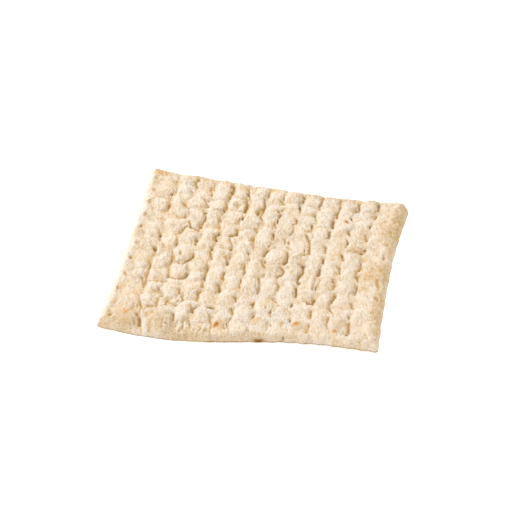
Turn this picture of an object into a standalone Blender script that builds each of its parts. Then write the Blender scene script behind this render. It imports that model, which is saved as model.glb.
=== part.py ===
"""A soft rectangular flatbread, docked with staggered rows of holes.

The bread is one solid. It lies on z = 0 with the origin under its middle, +X along its
longer side and -Y towards its front edge. Columns of holes run from the back edge to the
front, and the dough between two columns has puffed up into a ridge of knobs.
"""

import math
import random

import bmesh
import bpy
import numpy as np

# Outline seen from above: the corners as (x, y), and the two bows of each edge, where the
# first is a single arc and the second an S. Edges run left to right and front to back.
FRONT_LEFT = (-0.0965, -0.0932)
FRONT_RIGHT = (0.1010, -0.0891)
BACK_RIGHT = (0.1016, 0.0917)
BACK_LEFT = (-0.1014, 0.0974)
FRONT_BOWS = (-0.0007, -0.0046)
BACK_BOWS = (-0.0018, 0.0019)
LEFT_BOWS = (0.0012, 0.0001)
RIGHT_BOWS = (-0.0040, 0.0003)
BACK_LEFT_RADIUS = 0.0050
BACK_RIGHT_RADIUS = 0.0078
FRONT_CORNER_RADIUS = 0.0028
RAGGED_EDGE = 0.0003
RAGGED_WAVE = 0.011
NOTCH_HALF_WIDTH = 0.0022

# Notches of the back edge between the ends of the ridges: column and depth
BACK_NOTCHES = (
    (1.05, 0.0006),
    (3.02, 0.0013),
    (4.28, 0.0006),
    (5.20, 0.0026),
    (9.08, 0.0010),
    (10.18, 0.0006),
    (11.20, 0.0017),
    (12.02, 0.0005),
)

# Pattern of docking holes. Every second column is set half a row pitch further back.
COLUMNS = 14
ROWS = 11
COLUMN_PITCH = 0.01386
ROW_PITCH = 0.0160
LEFT_MARGIN = 0.0069
RIGHT_MARGIN = 0.0063
BACK_MARGIN = 0.0094
FRONT_MARGIN = 0.0152
END_SPREAD = 0.0037
END_SPREAD_POWER = 7
ROW_DRIFT = 0.0025
ROW_BUNCH = 0.0029
WANDER = 0.0009
WANDER_WAVE = 0.026
STEADY_BAND = 0.012

# Thickness of the sheet, its rounded rim and shoulders, and how its corners curl up from a
# flat middle. The front shoulder is longer at the left, as a pair, and eases over columns.
FLOOR_THICKNESS = 0.0040
RIM_HEIGHT = 0.0010
RIM_UNDERCUT = 0.0009
LEFT_SHOULDER = 0.0060
RIGHT_SHOULDER = 0.0060
BACK_SHOULDER = 0.0040
FRONT_SHOULDER = (0.0092, 0.0062)
FRONT_SHOULDER_COLUMNS = (3.6, 5.4)
SHOULDER_POWER = 0.62
CURL_SPAN = 0.1
SIDE_CURL = 0.0022
FRONT_CURL = 0.0014
TWIST = 0.0018
SETTLE = 0.0009
SETTLE_BLEND = 0.0005

# Knobs along the ridges. On the left half the dough puffed up unevenly, and on the right
# half the ridges stayed straight, so a pair holds the left value and the right value.
SEED = 11
UNEVEN_UNTIL = 4.0
EVEN_FROM = 8.5
KNOB_RISE = 0.0027
RISE_SPREAD = 0.0005
WIDTH_OVERLAP = (1.06, 1.04)
LENGTH_OVERLAP = (1.24, 1.34)
TURN_SPREAD = (0.14, 0.06)
KNOB_FULLNESS = 4.4
KNOB_SQUARENESS = 2.6
KNOB_BLEND = 0.00014

# Lower knobs that fill the ridges between the others
FILLER_RISE = (0.0010, 0.0014)
FILLER_RISE_SPREAD = (0.0005, 0.0003)
FILLER_LEAN = (0.0014, 0.0010)
FILLER_PLACE_SPREAD = (0.0008, 0.0006)
FILLER_HALF_WIDTH = (0.0066, 0.0064)
FILLER_HALF_LENGTH = (0.0078, 0.0092)
FILLER_SIZE_SPREAD = (0.0009, 0.0007)
FILLER_TURN_SPREAD = (0.30, 0.12)

# The fine unevenness of the whole top
BUCKLE = 0.0006
BUCKLE_WAVE = 0.013
LUMP = 0.00016
LUMP_WAVE = 0.0060
RIPPLE_WAVES = 7
RIPPLE_RANGE = (0.7, 1.4)

# Grooves down the columns, and at each hole a funnel drawn down to a slot
GROOVE_DEPTH = (0.0003, 0.0005)
GROOVE_SWELL = 0.35
GROOVE_HALF_WIDTH = 0.0008
FUNNEL_SHARE = 0.34
FUNNEL_HALF_WIDTH = 0.0018
FUNNEL_HALF_LENGTH = 0.0034
HOLE_DEPTH = 0.0020
HOLE_SPREAD = (0.3, 1.0)
HOLE_HALF_WIDTH = 0.0008
HOLE_HALF_LENGTH = 0.0015
HOLE_FLOOR = 0.0008
EDGE_FUNNEL_SHARE = 0.30
EDGE_HOLE_DEPTH = 0.0010

# Plain lips along the edges: rise, and the column or row numbers they fade in between
LEFT_LIP_RISE = 0.0027
LEFT_LIP_FADE = (-0.10, 0.45)
RIGHT_LIP_RISE = 0.0033
RIGHT_LIP_FADE = (COLUMNS - 1.45, COLUMNS - 1.10)
FRONT_LIP_RISE = 0.0030
FRONT_LIP_FADE = (ROWS - 0.55, ROWS - 0.15)
FRONT_LIP_SHARE = 0.5
BACK_LIP_RISE = 0.0033
BACK_LIP_FADE = (-0.50, -0.05)
BACK_LIP_SHARE = 0.7
LIP_WAVE = 0.020
LIP_SWELL = 0.12

# The largest blisters: column and row of the middle, half width, half length, and rise
# above the groove floor. They cover the holes under them, fading out between two shares
# of their size. The first one sank in the middle, to a dish of a given depth.
BLISTERS = (
    (4.60, 1.50, 0.0078, 0.0104, 0.0038),
    (0.62, 10.25, 0.0108, 0.0136, 0.0032),
    (2.34, 10.30, 0.0118, 0.0150, 0.0038),
)
BLISTER_COVER = (0.55, 0.95)
DISH_PLACE = (4.66, 1.62)
DISH_HALF_SIZE = (0.0034, 0.0040)
DISH_DEPTH = 0.0024

# Knobs by eye, ridge by ridge from the left and each ridge from the back: how far the
# middle is past the ridge's left column, its row, half width in columns and half length
# in rows out to the creases
RIDGES = (
    (
        (0.50, 0.05, 0.52, 0.50), (0.52, 0.75, 0.48, 0.40), (0.58, 1.45, 0.55, 0.56),
        (0.58, 2.42, 0.45, 0.42), (0.50, 3.20, 0.46, 0.48), (0.55, 4.10, 0.46, 0.52),
        (0.76, 5.20, 0.66, 0.46), (0.55, 6.35, 0.44, 0.60), (0.58, 7.42, 0.48, 0.46),
        (0.50, 8.30, 0.48, 0.56), (0.95, 8.90, 0.36, 0.50), (0.45, 9.20, 0.45, 0.50),
    ),
    (
        (0.55, 0.10, 0.50, 0.48), (0.52, 0.85, 0.48, 0.38), (0.38, 2.10, 0.30, 0.80),
        (0.74, 2.62, 0.36, 0.44), (0.58, 3.84, 0.55, 0.50), (0.66, 4.80, 0.36, 0.48),
        (0.58, 6.05, 0.42, 0.62), (0.62, 6.95, 0.40, 0.52), (0.62, 7.86, 0.50, 0.36),
        (0.40, 8.75, 0.34, 0.52), (0.88, 8.85, 0.26, 0.46),
    ),
    (
        (0.52, 0.25, 0.44, 0.62), (0.66, 1.20, 0.48, 0.36), (0.34, 1.80, 0.62, 0.48),
        (0.56, 3.00, 0.52, 0.62), (0.22, 3.56, 0.26, 0.28), (0.56, 4.26, 0.54, 0.50),
        (0.48, 5.55, 0.46, 0.64), (0.64, 6.60, 0.56, 0.38), (0.55, 7.30, 0.46, 0.30),
        (0.48, 7.95, 0.38, 0.46), (0.34, 8.68, 0.28, 0.32), (0.84, 8.72, 0.30, 0.34),
        (0.72, 9.20, 0.42, 0.26),
    ),
    (
        (0.56, 0.20, 0.52, 0.52), (0.52, 0.98, 0.44, 0.40), (0.66, 1.72, 0.35, 0.42),
        (0.46, 2.48, 0.52, 0.48), (0.50, 3.24, 0.44, 0.38), (0.66, 4.04, 0.46, 0.46),
        (0.58, 4.66, 0.48, 0.30), (0.62, 5.34, 0.56, 0.46), (0.56, 6.20, 0.44, 0.44),
        (0.62, 6.88, 0.40, 0.32), (0.60, 7.90, 0.52, 0.60), (0.04, 8.24, 0.12, 0.30),
        (0.56, 8.94, 0.46, 0.38), (0.52, 9.52, 0.38, 0.34),
    ),
    (
        (0.58, 0.22, 0.44, 0.56), (0.60, 2.52, 0.50, 0.54), (0.60, 3.52, 0.60, 0.44),
        (0.74, 4.44, 0.36, 0.46), (0.28, 4.75, 0.24, 0.38), (0.62, 5.46, 0.46, 0.46),
        (0.64, 6.38, 0.45, 0.50), (0.58, 7.24, 0.46, 0.38), (0.52, 8.20, 0.38, 0.62),
        (0.52, 9.40, 0.42, 0.54),
    ),
    (
        (0.66, 0.16, 0.36, 0.46), (0.64, 1.26, 0.45, 0.82), (0.60, 2.62, 0.52, 0.62),
        (0.70, 3.74, 0.50, 0.46), (0.68, 4.62, 0.50, 0.54), (0.60, 5.40, 0.45, 0.44),
        (0.62, 6.24, 0.50, 0.48), (0.60, 7.08, 0.44, 0.44), (0.48, 8.10, 0.52, 0.56),
        (0.58, 9.50, 0.52, 0.80),
    ),
    (
        (0.58, 0.25, 0.48, 0.60), (0.66, 1.76, 0.44, 0.70), (0.62, 2.64, 0.46, 0.36),
        (0.68, 3.62, 0.48, 0.66), (0.62, 4.78, 0.48, 0.46), (0.58, 5.60, 0.50, 0.44),
        (0.44, 6.34, 0.34, 0.42), (0.66, 7.16, 0.54, 0.48), (0.56, 8.26, 0.44, 0.62),
        (0.52, 9.30, 0.46, 0.50), (0.50, 10.30, 0.46, 0.60),
    ),
    (
        (0.52, 0.22, 0.48, 0.52), (0.60, 0.96, 0.46, 0.34), (0.60, 1.94, 0.50, 0.66),
        (0.60, 2.94, 0.40, 0.38), (0.56, 3.80, 0.44, 0.60), (0.58, 5.06, 0.66, 0.52),
        (0.58, 6.08, 0.64, 0.48), (0.60, 7.20, 0.40, 0.64), (0.54, 8.76, 0.52, 0.78),
        (0.46, 10.16, 0.46, 0.62),
    ),
    (
        (0.56, 0.32, 0.46, 0.66), (0.60, 1.22, 0.44, 0.34), (0.62, 2.05, 0.42, 0.52),
        (0.50, 3.00, 0.42, 0.50), (0.82, 4.16, 0.48, 0.66), (0.60, 5.26, 0.42, 0.54),
        (0.60, 6.24, 0.40, 0.54), (0.58, 7.44, 0.50, 0.70), (0.60, 8.66, 0.46, 0.54),
        (0.50, 9.86, 0.46, 0.60),
    ),
    (
        (0.60, 0.22, 0.48, 0.54), (0.54, 1.22, 0.44, 0.48), (0.58, 2.06, 0.46, 0.46),
        (0.60, 3.16, 0.50, 0.66), (0.70, 4.42, 0.38, 0.56), (0.62, 5.54, 0.50, 0.64),
        (0.80, 6.70, 0.28, 0.52), (0.58, 7.70, 0.48, 0.62), (0.54, 9.66, 0.50, 0.90),
    ),
    (
        (0.62, 0.16, 0.48, 0.52), (0.52, 1.04, 0.42, 0.46), (0.58, 2.24, 0.46, 0.82),
        (0.56, 3.58, 0.46, 0.44), (0.62, 4.58, 0.48, 0.62), (0.58, 5.50, 0.46, 0.46),
        (0.50, 6.66, 0.46, 0.74), (0.60, 7.98, 0.36, 0.54), (0.56, 9.40, 0.50, 0.90),
    ),
    (
        (0.60, 0.16, 0.44, 0.54), (0.56, 1.12, 0.44, 0.42), (0.58, 1.86, 0.44, 0.38),
        (0.66, 2.58, 0.42, 0.42), (0.60, 3.60, 0.48, 0.62), (0.56, 4.80, 0.48, 0.56),
        (0.62, 5.76, 0.44, 0.44), (0.54, 6.76, 0.48, 0.54), (0.50, 7.84, 0.48, 0.62),
        (0.58, 8.86, 0.46, 0.46), (0.56, 9.86, 0.48, 0.52),
    ),
    (
        (0.62, 0.40, 0.50, 0.90), (0.60, 1.80, 0.50, 0.80), (0.56, 3.10, 0.46, 0.80),
        (0.60, 4.90, 0.52, 0.56), (0.60, 6.10, 0.46, 0.70), (0.62, 7.40, 0.50, 0.80),
        (0.58, 8.80, 0.52, 0.80), (0.60, 10.10, 0.50, 0.70),
    ),
)

# Lines of the mesh: distances from the rim, and shares of a ridge's width and row pitch
RIM_STEPS = (0.0, 0.0006, 0.0018, 0.0040)
RIDGE_STEPS = (0.0, 0.12, 0.31, 0.50, 0.69, 0.88)
STEPS_PER_ROW = 4
FRONT_LIP_STEPS = (0.0105, 0.0070)
SMOOTH_ANGLE = math.radians(60)

# Pale baked dough under a dusting of flour
DOUGH_COLOUR = (0.83, 0.66, 0.43, 1.0)
DOUGH_ROUGHNESS = 0.85


def smoothstep(low, high, value):
    """0 below low and 1 above high, with an eased slope between."""
    share = np.clip((value - low) / (high - low), 0.0, 1.0)
    return share * share * (3.0 - 2.0 * share)


def column_place(column):
    """Distance of a column of holes from the left edge; the outer columns lie wider apart."""
    middle = (COLUMNS - 1) / 2
    spread = END_SPREAD * ((column - middle) / middle) ** END_SPREAD_POWER
    return LEFT_MARGIN + END_SPREAD + column * COLUMN_PITCH + spread


SHEET_WIDTH = column_place(COLUMNS - 1) + RIGHT_MARGIN
SHEET_DEPTH = BACK_MARGIN + (ROWS - 1) * ROW_PITCH + FRONT_MARGIN


def row_place(row):
    """Distance of a row of holes from the back edge; rows are wider apart in the middle."""
    even = BACK_MARGIN + row * ROW_PITCH
    share = even / SHEET_DEPTH
    drift = ROW_DRIFT * math.sin(math.pi * share)
    bunch = ROW_BUNCH * math.sin(2 * math.pi * share)
    return even - drift - bunch


def mesh_columns():
    """Mesh lines from left to right, as (distance from the left edge, column number)."""
    lines = []
    for step in RIM_STEPS:
        lines.append((step, (step - LEFT_MARGIN) / COLUMN_PITCH))
    for column in range(COLUMNS - 1):
        start = column_place(column)
        width = column_place(column + 1) - start
        lines += [(start + share * width, column + share) for share in RIDGE_STEPS]
    last = COLUMNS - 1
    lines.append((column_place(last), last))
    for step in reversed(RIM_STEPS):
        lines.append((SHEET_WIDTH - step, last + (RIGHT_MARGIN - step) / COLUMN_PITCH))
    return np.array(lines)


def mesh_rows():
    """Mesh lines from back to front, as (distance from the back edge, row number)."""
    first = row_place(0)
    last = row_place(ROWS - 1)
    lines = [(step, (step - first) / ROW_PITCH) for step in RIM_STEPS]
    for count in range((ROWS - 1) * STEPS_PER_ROW + 1):
        row = count / STEPS_PER_ROW
        lines.append((row_place(row), row))
    for step in FRONT_LIP_STEPS + tuple(reversed(RIM_STEPS)):
        place = SHEET_DEPTH - step
        lines.append((place, ROWS - 1 + (place - last) / ROW_PITCH))
    return np.array(lines)


def between(pair, column):
    """A paired value at a column number, eased from its left value to its right value."""
    return pair[0] + (pair[1] - pair[0]) * float(smoothstep(UNEVEN_UNTIL, EVEN_FROM, column))


def make_knobs():
    """Knobs as (column, row, half width, half length, turn, rise)."""
    draw = random.Random(SEED)
    knobs = []
    for ridge, ridge_knobs in enumerate(RIDGES):
        for offset, row, columns_wide, rows_long in ridge_knobs:
            column = ridge + offset
            half_width = columns_wide * COLUMN_PITCH * between(WIDTH_OVERLAP, column)
            half_length = rows_long * ROW_PITCH * between(LENGTH_OVERLAP, column)
            turn = draw.gauss(0, between(TURN_SPREAD, column))
            rise = draw.gauss(KNOB_RISE, RISE_SPREAD)
            knobs.append((column, row, half_width, half_length, turn, rise))
    return knobs


def make_fillers():
    """Lower knobs in between, two to each row pitch of a ridge, leaning away from the holes."""
    draw = random.Random(SEED)
    fillers = []
    for ridge in range(COLUMNS - 1):
        middle = ridge + 0.5
        spread = between(FILLER_PLACE_SPREAD, middle)
        for half_row in range(-1, 2 * ROWS + 1):
            side = -1 if (ridge + half_row) % 2 == 0 else 1
            lean = -side * between(FILLER_LEAN, middle)
            column = middle + (lean + draw.gauss(0, spread)) / COLUMN_PITCH
            row = half_row / 2 + draw.gauss(0, spread) / ROW_PITCH
            size_spread = between(FILLER_SIZE_SPREAD, middle)
            half_width = draw.gauss(between(FILLER_HALF_WIDTH, middle), size_spread)
            half_length = draw.gauss(between(FILLER_HALF_LENGTH, middle), size_spread)
            turn = draw.gauss(0, between(FILLER_TURN_SPREAD, middle))
            rise = draw.gauss(between(FILLER_RISE, middle), between(FILLER_RISE_SPREAD, middle))
            fillers.append((column, row, half_width, half_length, turn, rise))
    return fillers


def ripple(x, y, wave, name):
    """A smooth random field of about -1 to 1, with humps about one wave apart."""
    draw = random.Random(name)
    total = np.zeros_like(x)
    for _ in range(RIPPLE_WAVES):
        angle = draw.uniform(0, math.pi)
        turns = 2 * math.pi * draw.uniform(*RIPPLE_RANGE) / wave
        phase = draw.uniform(0, 2 * math.pi)
        total += np.sin((x * math.cos(angle) + y * math.sin(angle)) * turns + phase)
    return total / math.sqrt(RIPPLE_WAVES)


def cap(column, row, knob):
    """Rise of one rounded knob over the groove floor, at arrays of column and row numbers."""
    middle_column, middle_row, half_width, half_length, turn, rise = knob
    x = (column - middle_column) * COLUMN_PITCH
    y = (row - middle_row) * ROW_PITCH
    across = (x * math.cos(turn) + y * math.sin(turn)) / half_width
    along = (y * math.cos(turn) - x * math.sin(turn)) / half_length
    reach = np.abs(across) ** KNOB_SQUARENESS + np.abs(along) ** KNOB_SQUARENESS
    reach = np.minimum(reach, 1.0) ** (1.0 / KNOB_SQUARENESS)
    return rise * (1.0 - reach**KNOB_FULLNESS)


def merged_caps(column, row, knobs, base):
    """Union of the knobs and a base, with a narrow rounded crease where two of them meet."""
    total = np.exp(base / KNOB_BLEND)
    for knob in knobs:
        total += np.expm1(cap(column, row, knob) / KNOB_BLEND)
    return KNOB_BLEND * np.log(total)


def groove_cut(column, row):
    """Depth of the grooves along the columns of holes, deepest at the holes."""
    nearest = np.clip(np.round(column), 0, COLUMNS - 1)
    offset = (column - nearest) * COLUMN_PITCH
    phase = row + 0.5 * (nearest % 2)
    right_share = smoothstep(UNEVEN_UNTIL, EVEN_FROM, column)
    depth = GROOVE_DEPTH[0] + (GROOVE_DEPTH[1] - GROOVE_DEPTH[0]) * right_share
    depth = depth * (1.0 - GROOVE_SWELL + GROOVE_SWELL * np.cos(2 * math.pi * phase))
    inner = (nearest > 0) & (nearest < COLUMNS - 1)
    return np.where(inner, depth, 0.0) * np.exp(-((offset / GROOVE_HALF_WIDTH) ** 2))


def hole_fields(column, row):
    """Depth of the docking holes, and how far the dough round each is drawn down to it."""
    draw = random.Random(SEED)
    cut = np.zeros_like(column)
    funnel = np.zeros_like(column)
    for hole_column in range(COLUMNS):
        at_end = hole_column in (0, COLUMNS - 1)
        depth = EDGE_HOLE_DEPTH if at_end else HOLE_DEPTH
        share = EDGE_FUNNEL_SHARE if at_end else FUNNEL_SHARE
        for hole_row in range(ROWS):
            x = (column - hole_column) * COLUMN_PITCH
            y = (row - hole_row + 0.5 * (hole_column % 2)) * ROW_PITCH
            slot = np.exp(-((x / HOLE_HALF_WIDTH) ** 2) - (y / HOLE_HALF_LENGTH) ** 2)
            bowl = np.exp(-((x / FUNNEL_HALF_WIDTH) ** 2) - (y / FUNNEL_HALF_LENGTH) ** 2)
            openness = draw.uniform(*HOLE_SPREAD)
            cut = np.maximum(cut, depth * openness * slot)
            funnel = np.maximum(funnel, share * openness * bowl)
    return cut, funnel


def blister_cover(column, row):
    """How fully a large blister covers each point, from 0 to 1."""
    cover = np.zeros_like(column)
    for middle_column, middle_row, half_width, half_length, _ in BLISTERS:
        x = (column - middle_column) * COLUMN_PITCH
        y = (row - middle_row) * ROW_PITCH
        reach = np.hypot(x / half_width, y / half_length)
        cover = np.maximum(cover, 1.0 - smoothstep(*BLISTER_COVER, reach))
    return cover


def dish_cut(column, row):
    """Depth of the dish where the middle of a blister sank."""
    x = (column - DISH_PLACE[0]) * COLUMN_PITCH / DISH_HALF_SIZE[0]
    y = (row - DISH_PLACE[1]) * ROW_PITCH / DISH_HALF_SIZE[1]
    return DISH_DEPTH * np.exp(-(x**2) - y**2)


def blister_caps():
    """The large blisters as knobs."""
    return [(column, row, wide, long, 0.0, rise) for column, row, wide, long, rise in BLISTERS]


def lipped(rise, column, row):
    """The rise drawn to a plain swelling lip along the edges, and where holes still show."""
    swell = ripple(column * COLUMN_PITCH, row * ROW_PITCH, LIP_WAVE, "lip")
    swell = 1.0 + LIP_SWELL * swell
    left = 1.0 - smoothstep(*LEFT_LIP_FADE, column)
    right = smoothstep(*RIGHT_LIP_FADE, column)
    front = smoothstep(*FRONT_LIP_FADE, row)
    back = 1.0 - smoothstep(*BACK_LIP_FADE, row)
    rise = rise + (LEFT_LIP_RISE * swell - rise) * left
    rise = rise + (RIGHT_LIP_RISE * swell - rise) * right
    rise = rise + (FRONT_LIP_RISE * swell - rise) * front * FRONT_LIP_SHARE
    rise = rise + (BACK_LIP_RISE * swell - rise) * back * BACK_LIP_SHARE
    return rise, (1.0 - front) * (1.0 - BACK_LIP_SHARE * back)


def top_height(column, row):
    """Thickness of the dough at arrays of column and row numbers."""
    x = column * COLUMN_PITCH
    y = row * ROW_PITCH
    bent_column = column + BUCKLE / COLUMN_PITCH * ripple(x, y, BUCKLE_WAVE, "buckle across")
    bent_row = row + BUCKLE / ROW_PITCH * ripple(x, y, BUCKLE_WAVE, "buckle along")
    rise = merged_caps(bent_column, bent_row, make_knobs() + make_fillers(), np.zeros_like(x))
    rise, inner = lipped(rise, column, row)
    rise = merged_caps(bent_column, bent_row, blister_caps(), rise)
    open_dough = (1.0 - blister_cover(bent_column, bent_row)) * inner
    slot, funnel = hole_fields(bent_column, bent_row)
    rise = rise * (1.0 - funnel * open_dough)
    cuts = (groove_cut(bent_column, bent_row) + slot) * open_dough
    cuts = np.maximum(cuts, dish_cut(column, row))
    lumps = LUMP * ripple(x, y, LUMP_WAVE, "lumps")
    return np.maximum(FLOOR_THICKNESS + rise + lumps - cuts, HOLE_FLOOR)


def bow(share, bows, length, name):
    """Offset of an edge from the straight line between its corners, with a ragged finish."""
    curve = bows[0] * np.sin(math.pi * share) + bows[1] * np.sin(2 * math.pi * share)
    along = share * length
    return curve + RAGGED_EDGE * ripple(along, np.zeros_like(along), RAGGED_WAVE, name)


def notches(across):
    """How far the back edge dips in between the ends of the ridges."""
    dip = np.zeros_like(across)
    for column, depth in BACK_NOTCHES:
        offset = (across - column_place(column)) / NOTCH_HALF_WIDTH
        dip = np.maximum(dip, depth * np.exp(-(offset**2)))
    return dip


def round_corners(across, down):
    """Draws the corners of the sheet in to an arc, at distances from its left and back edge."""
    at_left = across < SHEET_WIDTH / 2
    at_back = down < SHEET_DEPTH / 2
    side = np.where(at_left, across, SHEET_WIDTH - across)
    end = np.where(at_back, down, SHEET_DEPTH - down)
    back_radius = np.where(at_left, BACK_LEFT_RADIUS, BACK_RIGHT_RADIUS)
    radius = np.where(at_back, back_radius, FRONT_CORNER_RADIUS)
    p = np.clip(1.0 - side / radius, 0.0, 1.0)
    q = np.clip(1.0 - end / radius, 0.0, 1.0)
    in_corner = (p > 0) & (q > 0)
    length = np.where(in_corner, np.hypot(p, q), 1.0)
    pull = np.where(in_corner, radius * (1.0 - np.maximum(p, q) / length), 0.0)
    across = across + np.where(at_left, pull * p, -pull * p)
    down = down + np.where(at_back, pull * q, -pull * q)
    return across, down


def on_plan(across, down):
    """x and y of points given by their distances from the left and the back edge."""
    across, down = round_corners(across, down)
    edge = np.minimum.reduce([across, SHEET_WIDTH - across, down, SHEET_DEPTH - down])
    wander = WANDER * smoothstep(0.0, STEADY_BAND, edge)
    across = across + wander * ripple(across, down, WANDER_WAVE, "wander across")
    down = down + wander * ripple(across, down, WANDER_WAVE, "wander along")
    s = across / SHEET_WIDTH
    t = 1.0 - down / SHEET_DEPTH
    left = FRONT_LEFT[0] * (1 - t) + BACK_LEFT[0] * t + bow(t, LEFT_BOWS, SHEET_DEPTH, "left")
    right = FRONT_RIGHT[0] * (1 - t) + BACK_RIGHT[0] * t
    right = right + bow(t, RIGHT_BOWS, SHEET_DEPTH, "right")
    front = FRONT_LEFT[1] * (1 - s) + FRONT_RIGHT[1] * s
    front = front + bow(s, FRONT_BOWS, SHEET_WIDTH, "front")
    back = BACK_LEFT[1] * (1 - s) + BACK_RIGHT[1] * s + bow(s, BACK_BOWS, SHEET_WIDTH, "back")
    back = back - notches(across)
    return left * (1 - s) + right * s, front * (1 - t) + back * t


def curl(x, y):
    """Height of the underside: exactly 0 in the middle, where the bread rests."""
    u = x / CURL_SPAN
    v = y / CURL_SPAN
    raised = SIDE_CURL * u * u - TWIST * u * v + FRONT_CURL * np.minimum(v, 0.0) ** 2 - SETTLE
    blended = (raised + SETTLE_BLEND) ** 2 / (4 * SETTLE_BLEND)
    settled = np.where(raised < -SETTLE_BLEND, 0.0, blended)
    return np.where(raised > SETTLE_BLEND, raised, settled)


def shoulder(across, down):
    """0 at the rim and 1 past the rounded shoulder of the nearest edge."""
    right_share = smoothstep(*FRONT_SHOULDER_COLUMNS, (across - LEFT_MARGIN) / COLUMN_PITCH)
    front_shoulder = FRONT_SHOULDER[0] + (FRONT_SHOULDER[1] - FRONT_SHOULDER[0]) * right_share
    sides = (
        across / LEFT_SHOULDER,
        (SHEET_WIDTH - across) / RIGHT_SHOULDER,
        down / BACK_SHOULDER,
        (SHEET_DEPTH - down) / front_shoulder,
    )
    share = np.clip(np.minimum.reduce(sides), 0.0, 1.0)
    return (1.0 - (1.0 - share) ** 2) ** SHOULDER_POWER


def top_points(columns, rows):
    """The top of the bread as a grid of points, from its rim up over the shoulder."""
    across, down = np.meshgrid(columns[:, 0], rows[:, 0])
    column, row = np.meshgrid(columns[:, 1], rows[:, 1])
    x, y = on_plan(across, down)
    above_rim = top_height(column, row) - RIM_HEIGHT
    z = curl(x, y) + RIM_HEIGHT + above_rim * shoulder(across, down)
    return np.stack([x, y, z], axis=-1)


def underside_points(columns, rows):
    """The underside as a grid of points, drawn in from the rim."""
    across = np.clip(columns[:, 0], RIM_UNDERCUT, SHEET_WIDTH - RIM_UNDERCUT)
    down = np.clip(rows[:, 0], RIM_UNDERCUT, SHEET_DEPTH - RIM_UNDERCUT)
    x, y = on_plan(*np.meshgrid(across, down))
    return np.stack([x, y, curl(x, y)], axis=-1)


def add_grid(mesh, points):
    """Vertices and quads of a grid of points, returned as rows of vertices."""
    grid = [[mesh.verts.new(point) for point in line] for line in points]
    for upper, lower in zip(grid, grid[1:]):
        for i in range(len(upper) - 1):
            mesh.faces.new((upper[i], lower[i], lower[i + 1], upper[i + 1]))
    return grid


def border(grid):
    """The vertices round the edge of a grid, in order, starting at its first corner."""
    back = grid[0]
    right = [line[-1] for line in grid[1:]]
    front = grid[-1][-2::-1]
    left = [line[0] for line in grid[-2:0:-1]]
    return back + right + front + left


def add_wall(mesh, rim, base):
    """Triangles from the rim to the underside, which has half as many points round it."""
    for k in range(len(base)):
        here = base[k]
        after = base[(k + 1) % len(base)]
        first = rim[2 * k]
        middle = rim[2 * k + 1]
        last = rim[(2 * k + 2) % len(rim)]
        mesh.faces.new((first, here, middle))
        mesh.faces.new((middle, here, after))
        mesh.faces.new((middle, after, last))


def dough_material():
    """Matt pale dough."""
    material = bpy.data.materials.new("pale_baked_dough")
    material.use_nodes = True
    shader = material.node_tree.nodes["Principled BSDF"]
    shader.inputs["Base Color"].default_value = DOUGH_COLOUR
    shader.inputs["Roughness"].default_value = DOUGH_ROUGHNESS
    shader.inputs["Metallic"].default_value = 0.0
    return material


def make_flatbread():
    """The whole bread: its knobbly top, rounded rim and underside."""
    columns = mesh_columns()
    rows = mesh_rows()
    mesh = bmesh.new()
    top = add_grid(mesh, top_points(columns, rows))
    underside = add_grid(mesh, underside_points(columns[::2], rows[::2]))
    add_wall(mesh, border(top), border(underside))
    bmesh.ops.recalc_face_normals(mesh, faces=mesh.faces)
    bmesh.ops.triangulate(mesh, faces=mesh.faces, quad_method="BEAUTY")
    data = bpy.data.meshes.new("flatbread")
    mesh.to_mesh(data)
    mesh.free()
    data.shade_smooth()
    data.set_sharp_from_angle(angle=SMOOTH_ANGLE)
    data.materials.append(dough_material())
    bread = bpy.data.objects.new("flatbread", data)
    bpy.context.scene.collection.objects.link(bread)


for leftover in list(bpy.data.objects):
    bpy.data.objects.remove(leftover)
make_flatbread()
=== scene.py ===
"""A soft, docked, flour-dusted flatbread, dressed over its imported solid. Metres, +Z up."""

import math
import random

import bpy
import numpy as np
from mathutils import Matrix, Vector


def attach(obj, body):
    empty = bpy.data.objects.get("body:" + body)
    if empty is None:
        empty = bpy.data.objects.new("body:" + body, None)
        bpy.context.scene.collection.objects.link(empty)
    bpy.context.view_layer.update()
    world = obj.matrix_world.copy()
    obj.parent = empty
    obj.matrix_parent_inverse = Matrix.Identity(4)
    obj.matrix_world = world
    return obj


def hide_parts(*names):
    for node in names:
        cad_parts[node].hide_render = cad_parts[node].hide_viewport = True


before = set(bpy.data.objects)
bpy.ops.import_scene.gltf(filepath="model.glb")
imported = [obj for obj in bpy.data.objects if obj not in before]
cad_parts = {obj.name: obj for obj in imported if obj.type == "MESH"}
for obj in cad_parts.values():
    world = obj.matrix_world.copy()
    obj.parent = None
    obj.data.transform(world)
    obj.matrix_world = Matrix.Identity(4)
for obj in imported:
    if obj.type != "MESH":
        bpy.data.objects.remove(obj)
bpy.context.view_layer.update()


# ----------------------------------------
# The sheet of dough: wheat dough rolled out and cut roughly square, then baked flat.
# Its edges bow and fray a little, and its corners curl up from a flat middle.

# Corners of the sheet, and how far each edge bows in one sweep and in an S
FRONT_LEFT = (-0.0965, -0.0921)
FRONT_RIGHT = (0.1010, -0.0883)
BACK_RIGHT = (0.1016, 0.0917)
BACK_LEFT = (-0.1014, 0.0974)
FRONT_BOWS = (-0.0005, -0.0050)
BACK_BOWS = (-0.0018, 0.0019)
LEFT_BOWS = (0.0012, 0.0001)
RIGHT_BOWS = (-0.0040, 0.0003)
BACK_LEFT_RADIUS = 0.0050
BACK_RIGHT_RADIUS = 0.0096
FRONT_LEFT_RADIUS = 0.0010
FRONT_RIGHT_RADIUS = 0.0028
RAGGED_EDGE = 0.0003
RAGGED_WAVE = 0.011
NOTCH_HALF_WIDTH = 0.0022

# Rise of the underside at the span from the middle, and how much of it settles flat
CURL_SPAN = 0.1
SIDE_CURL = 0.0022
FRONT_CURL = 0.0014
TWIST = 0.0018
SETTLE = 0.0009
SETTLE_BLEND = 0.0005

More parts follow.
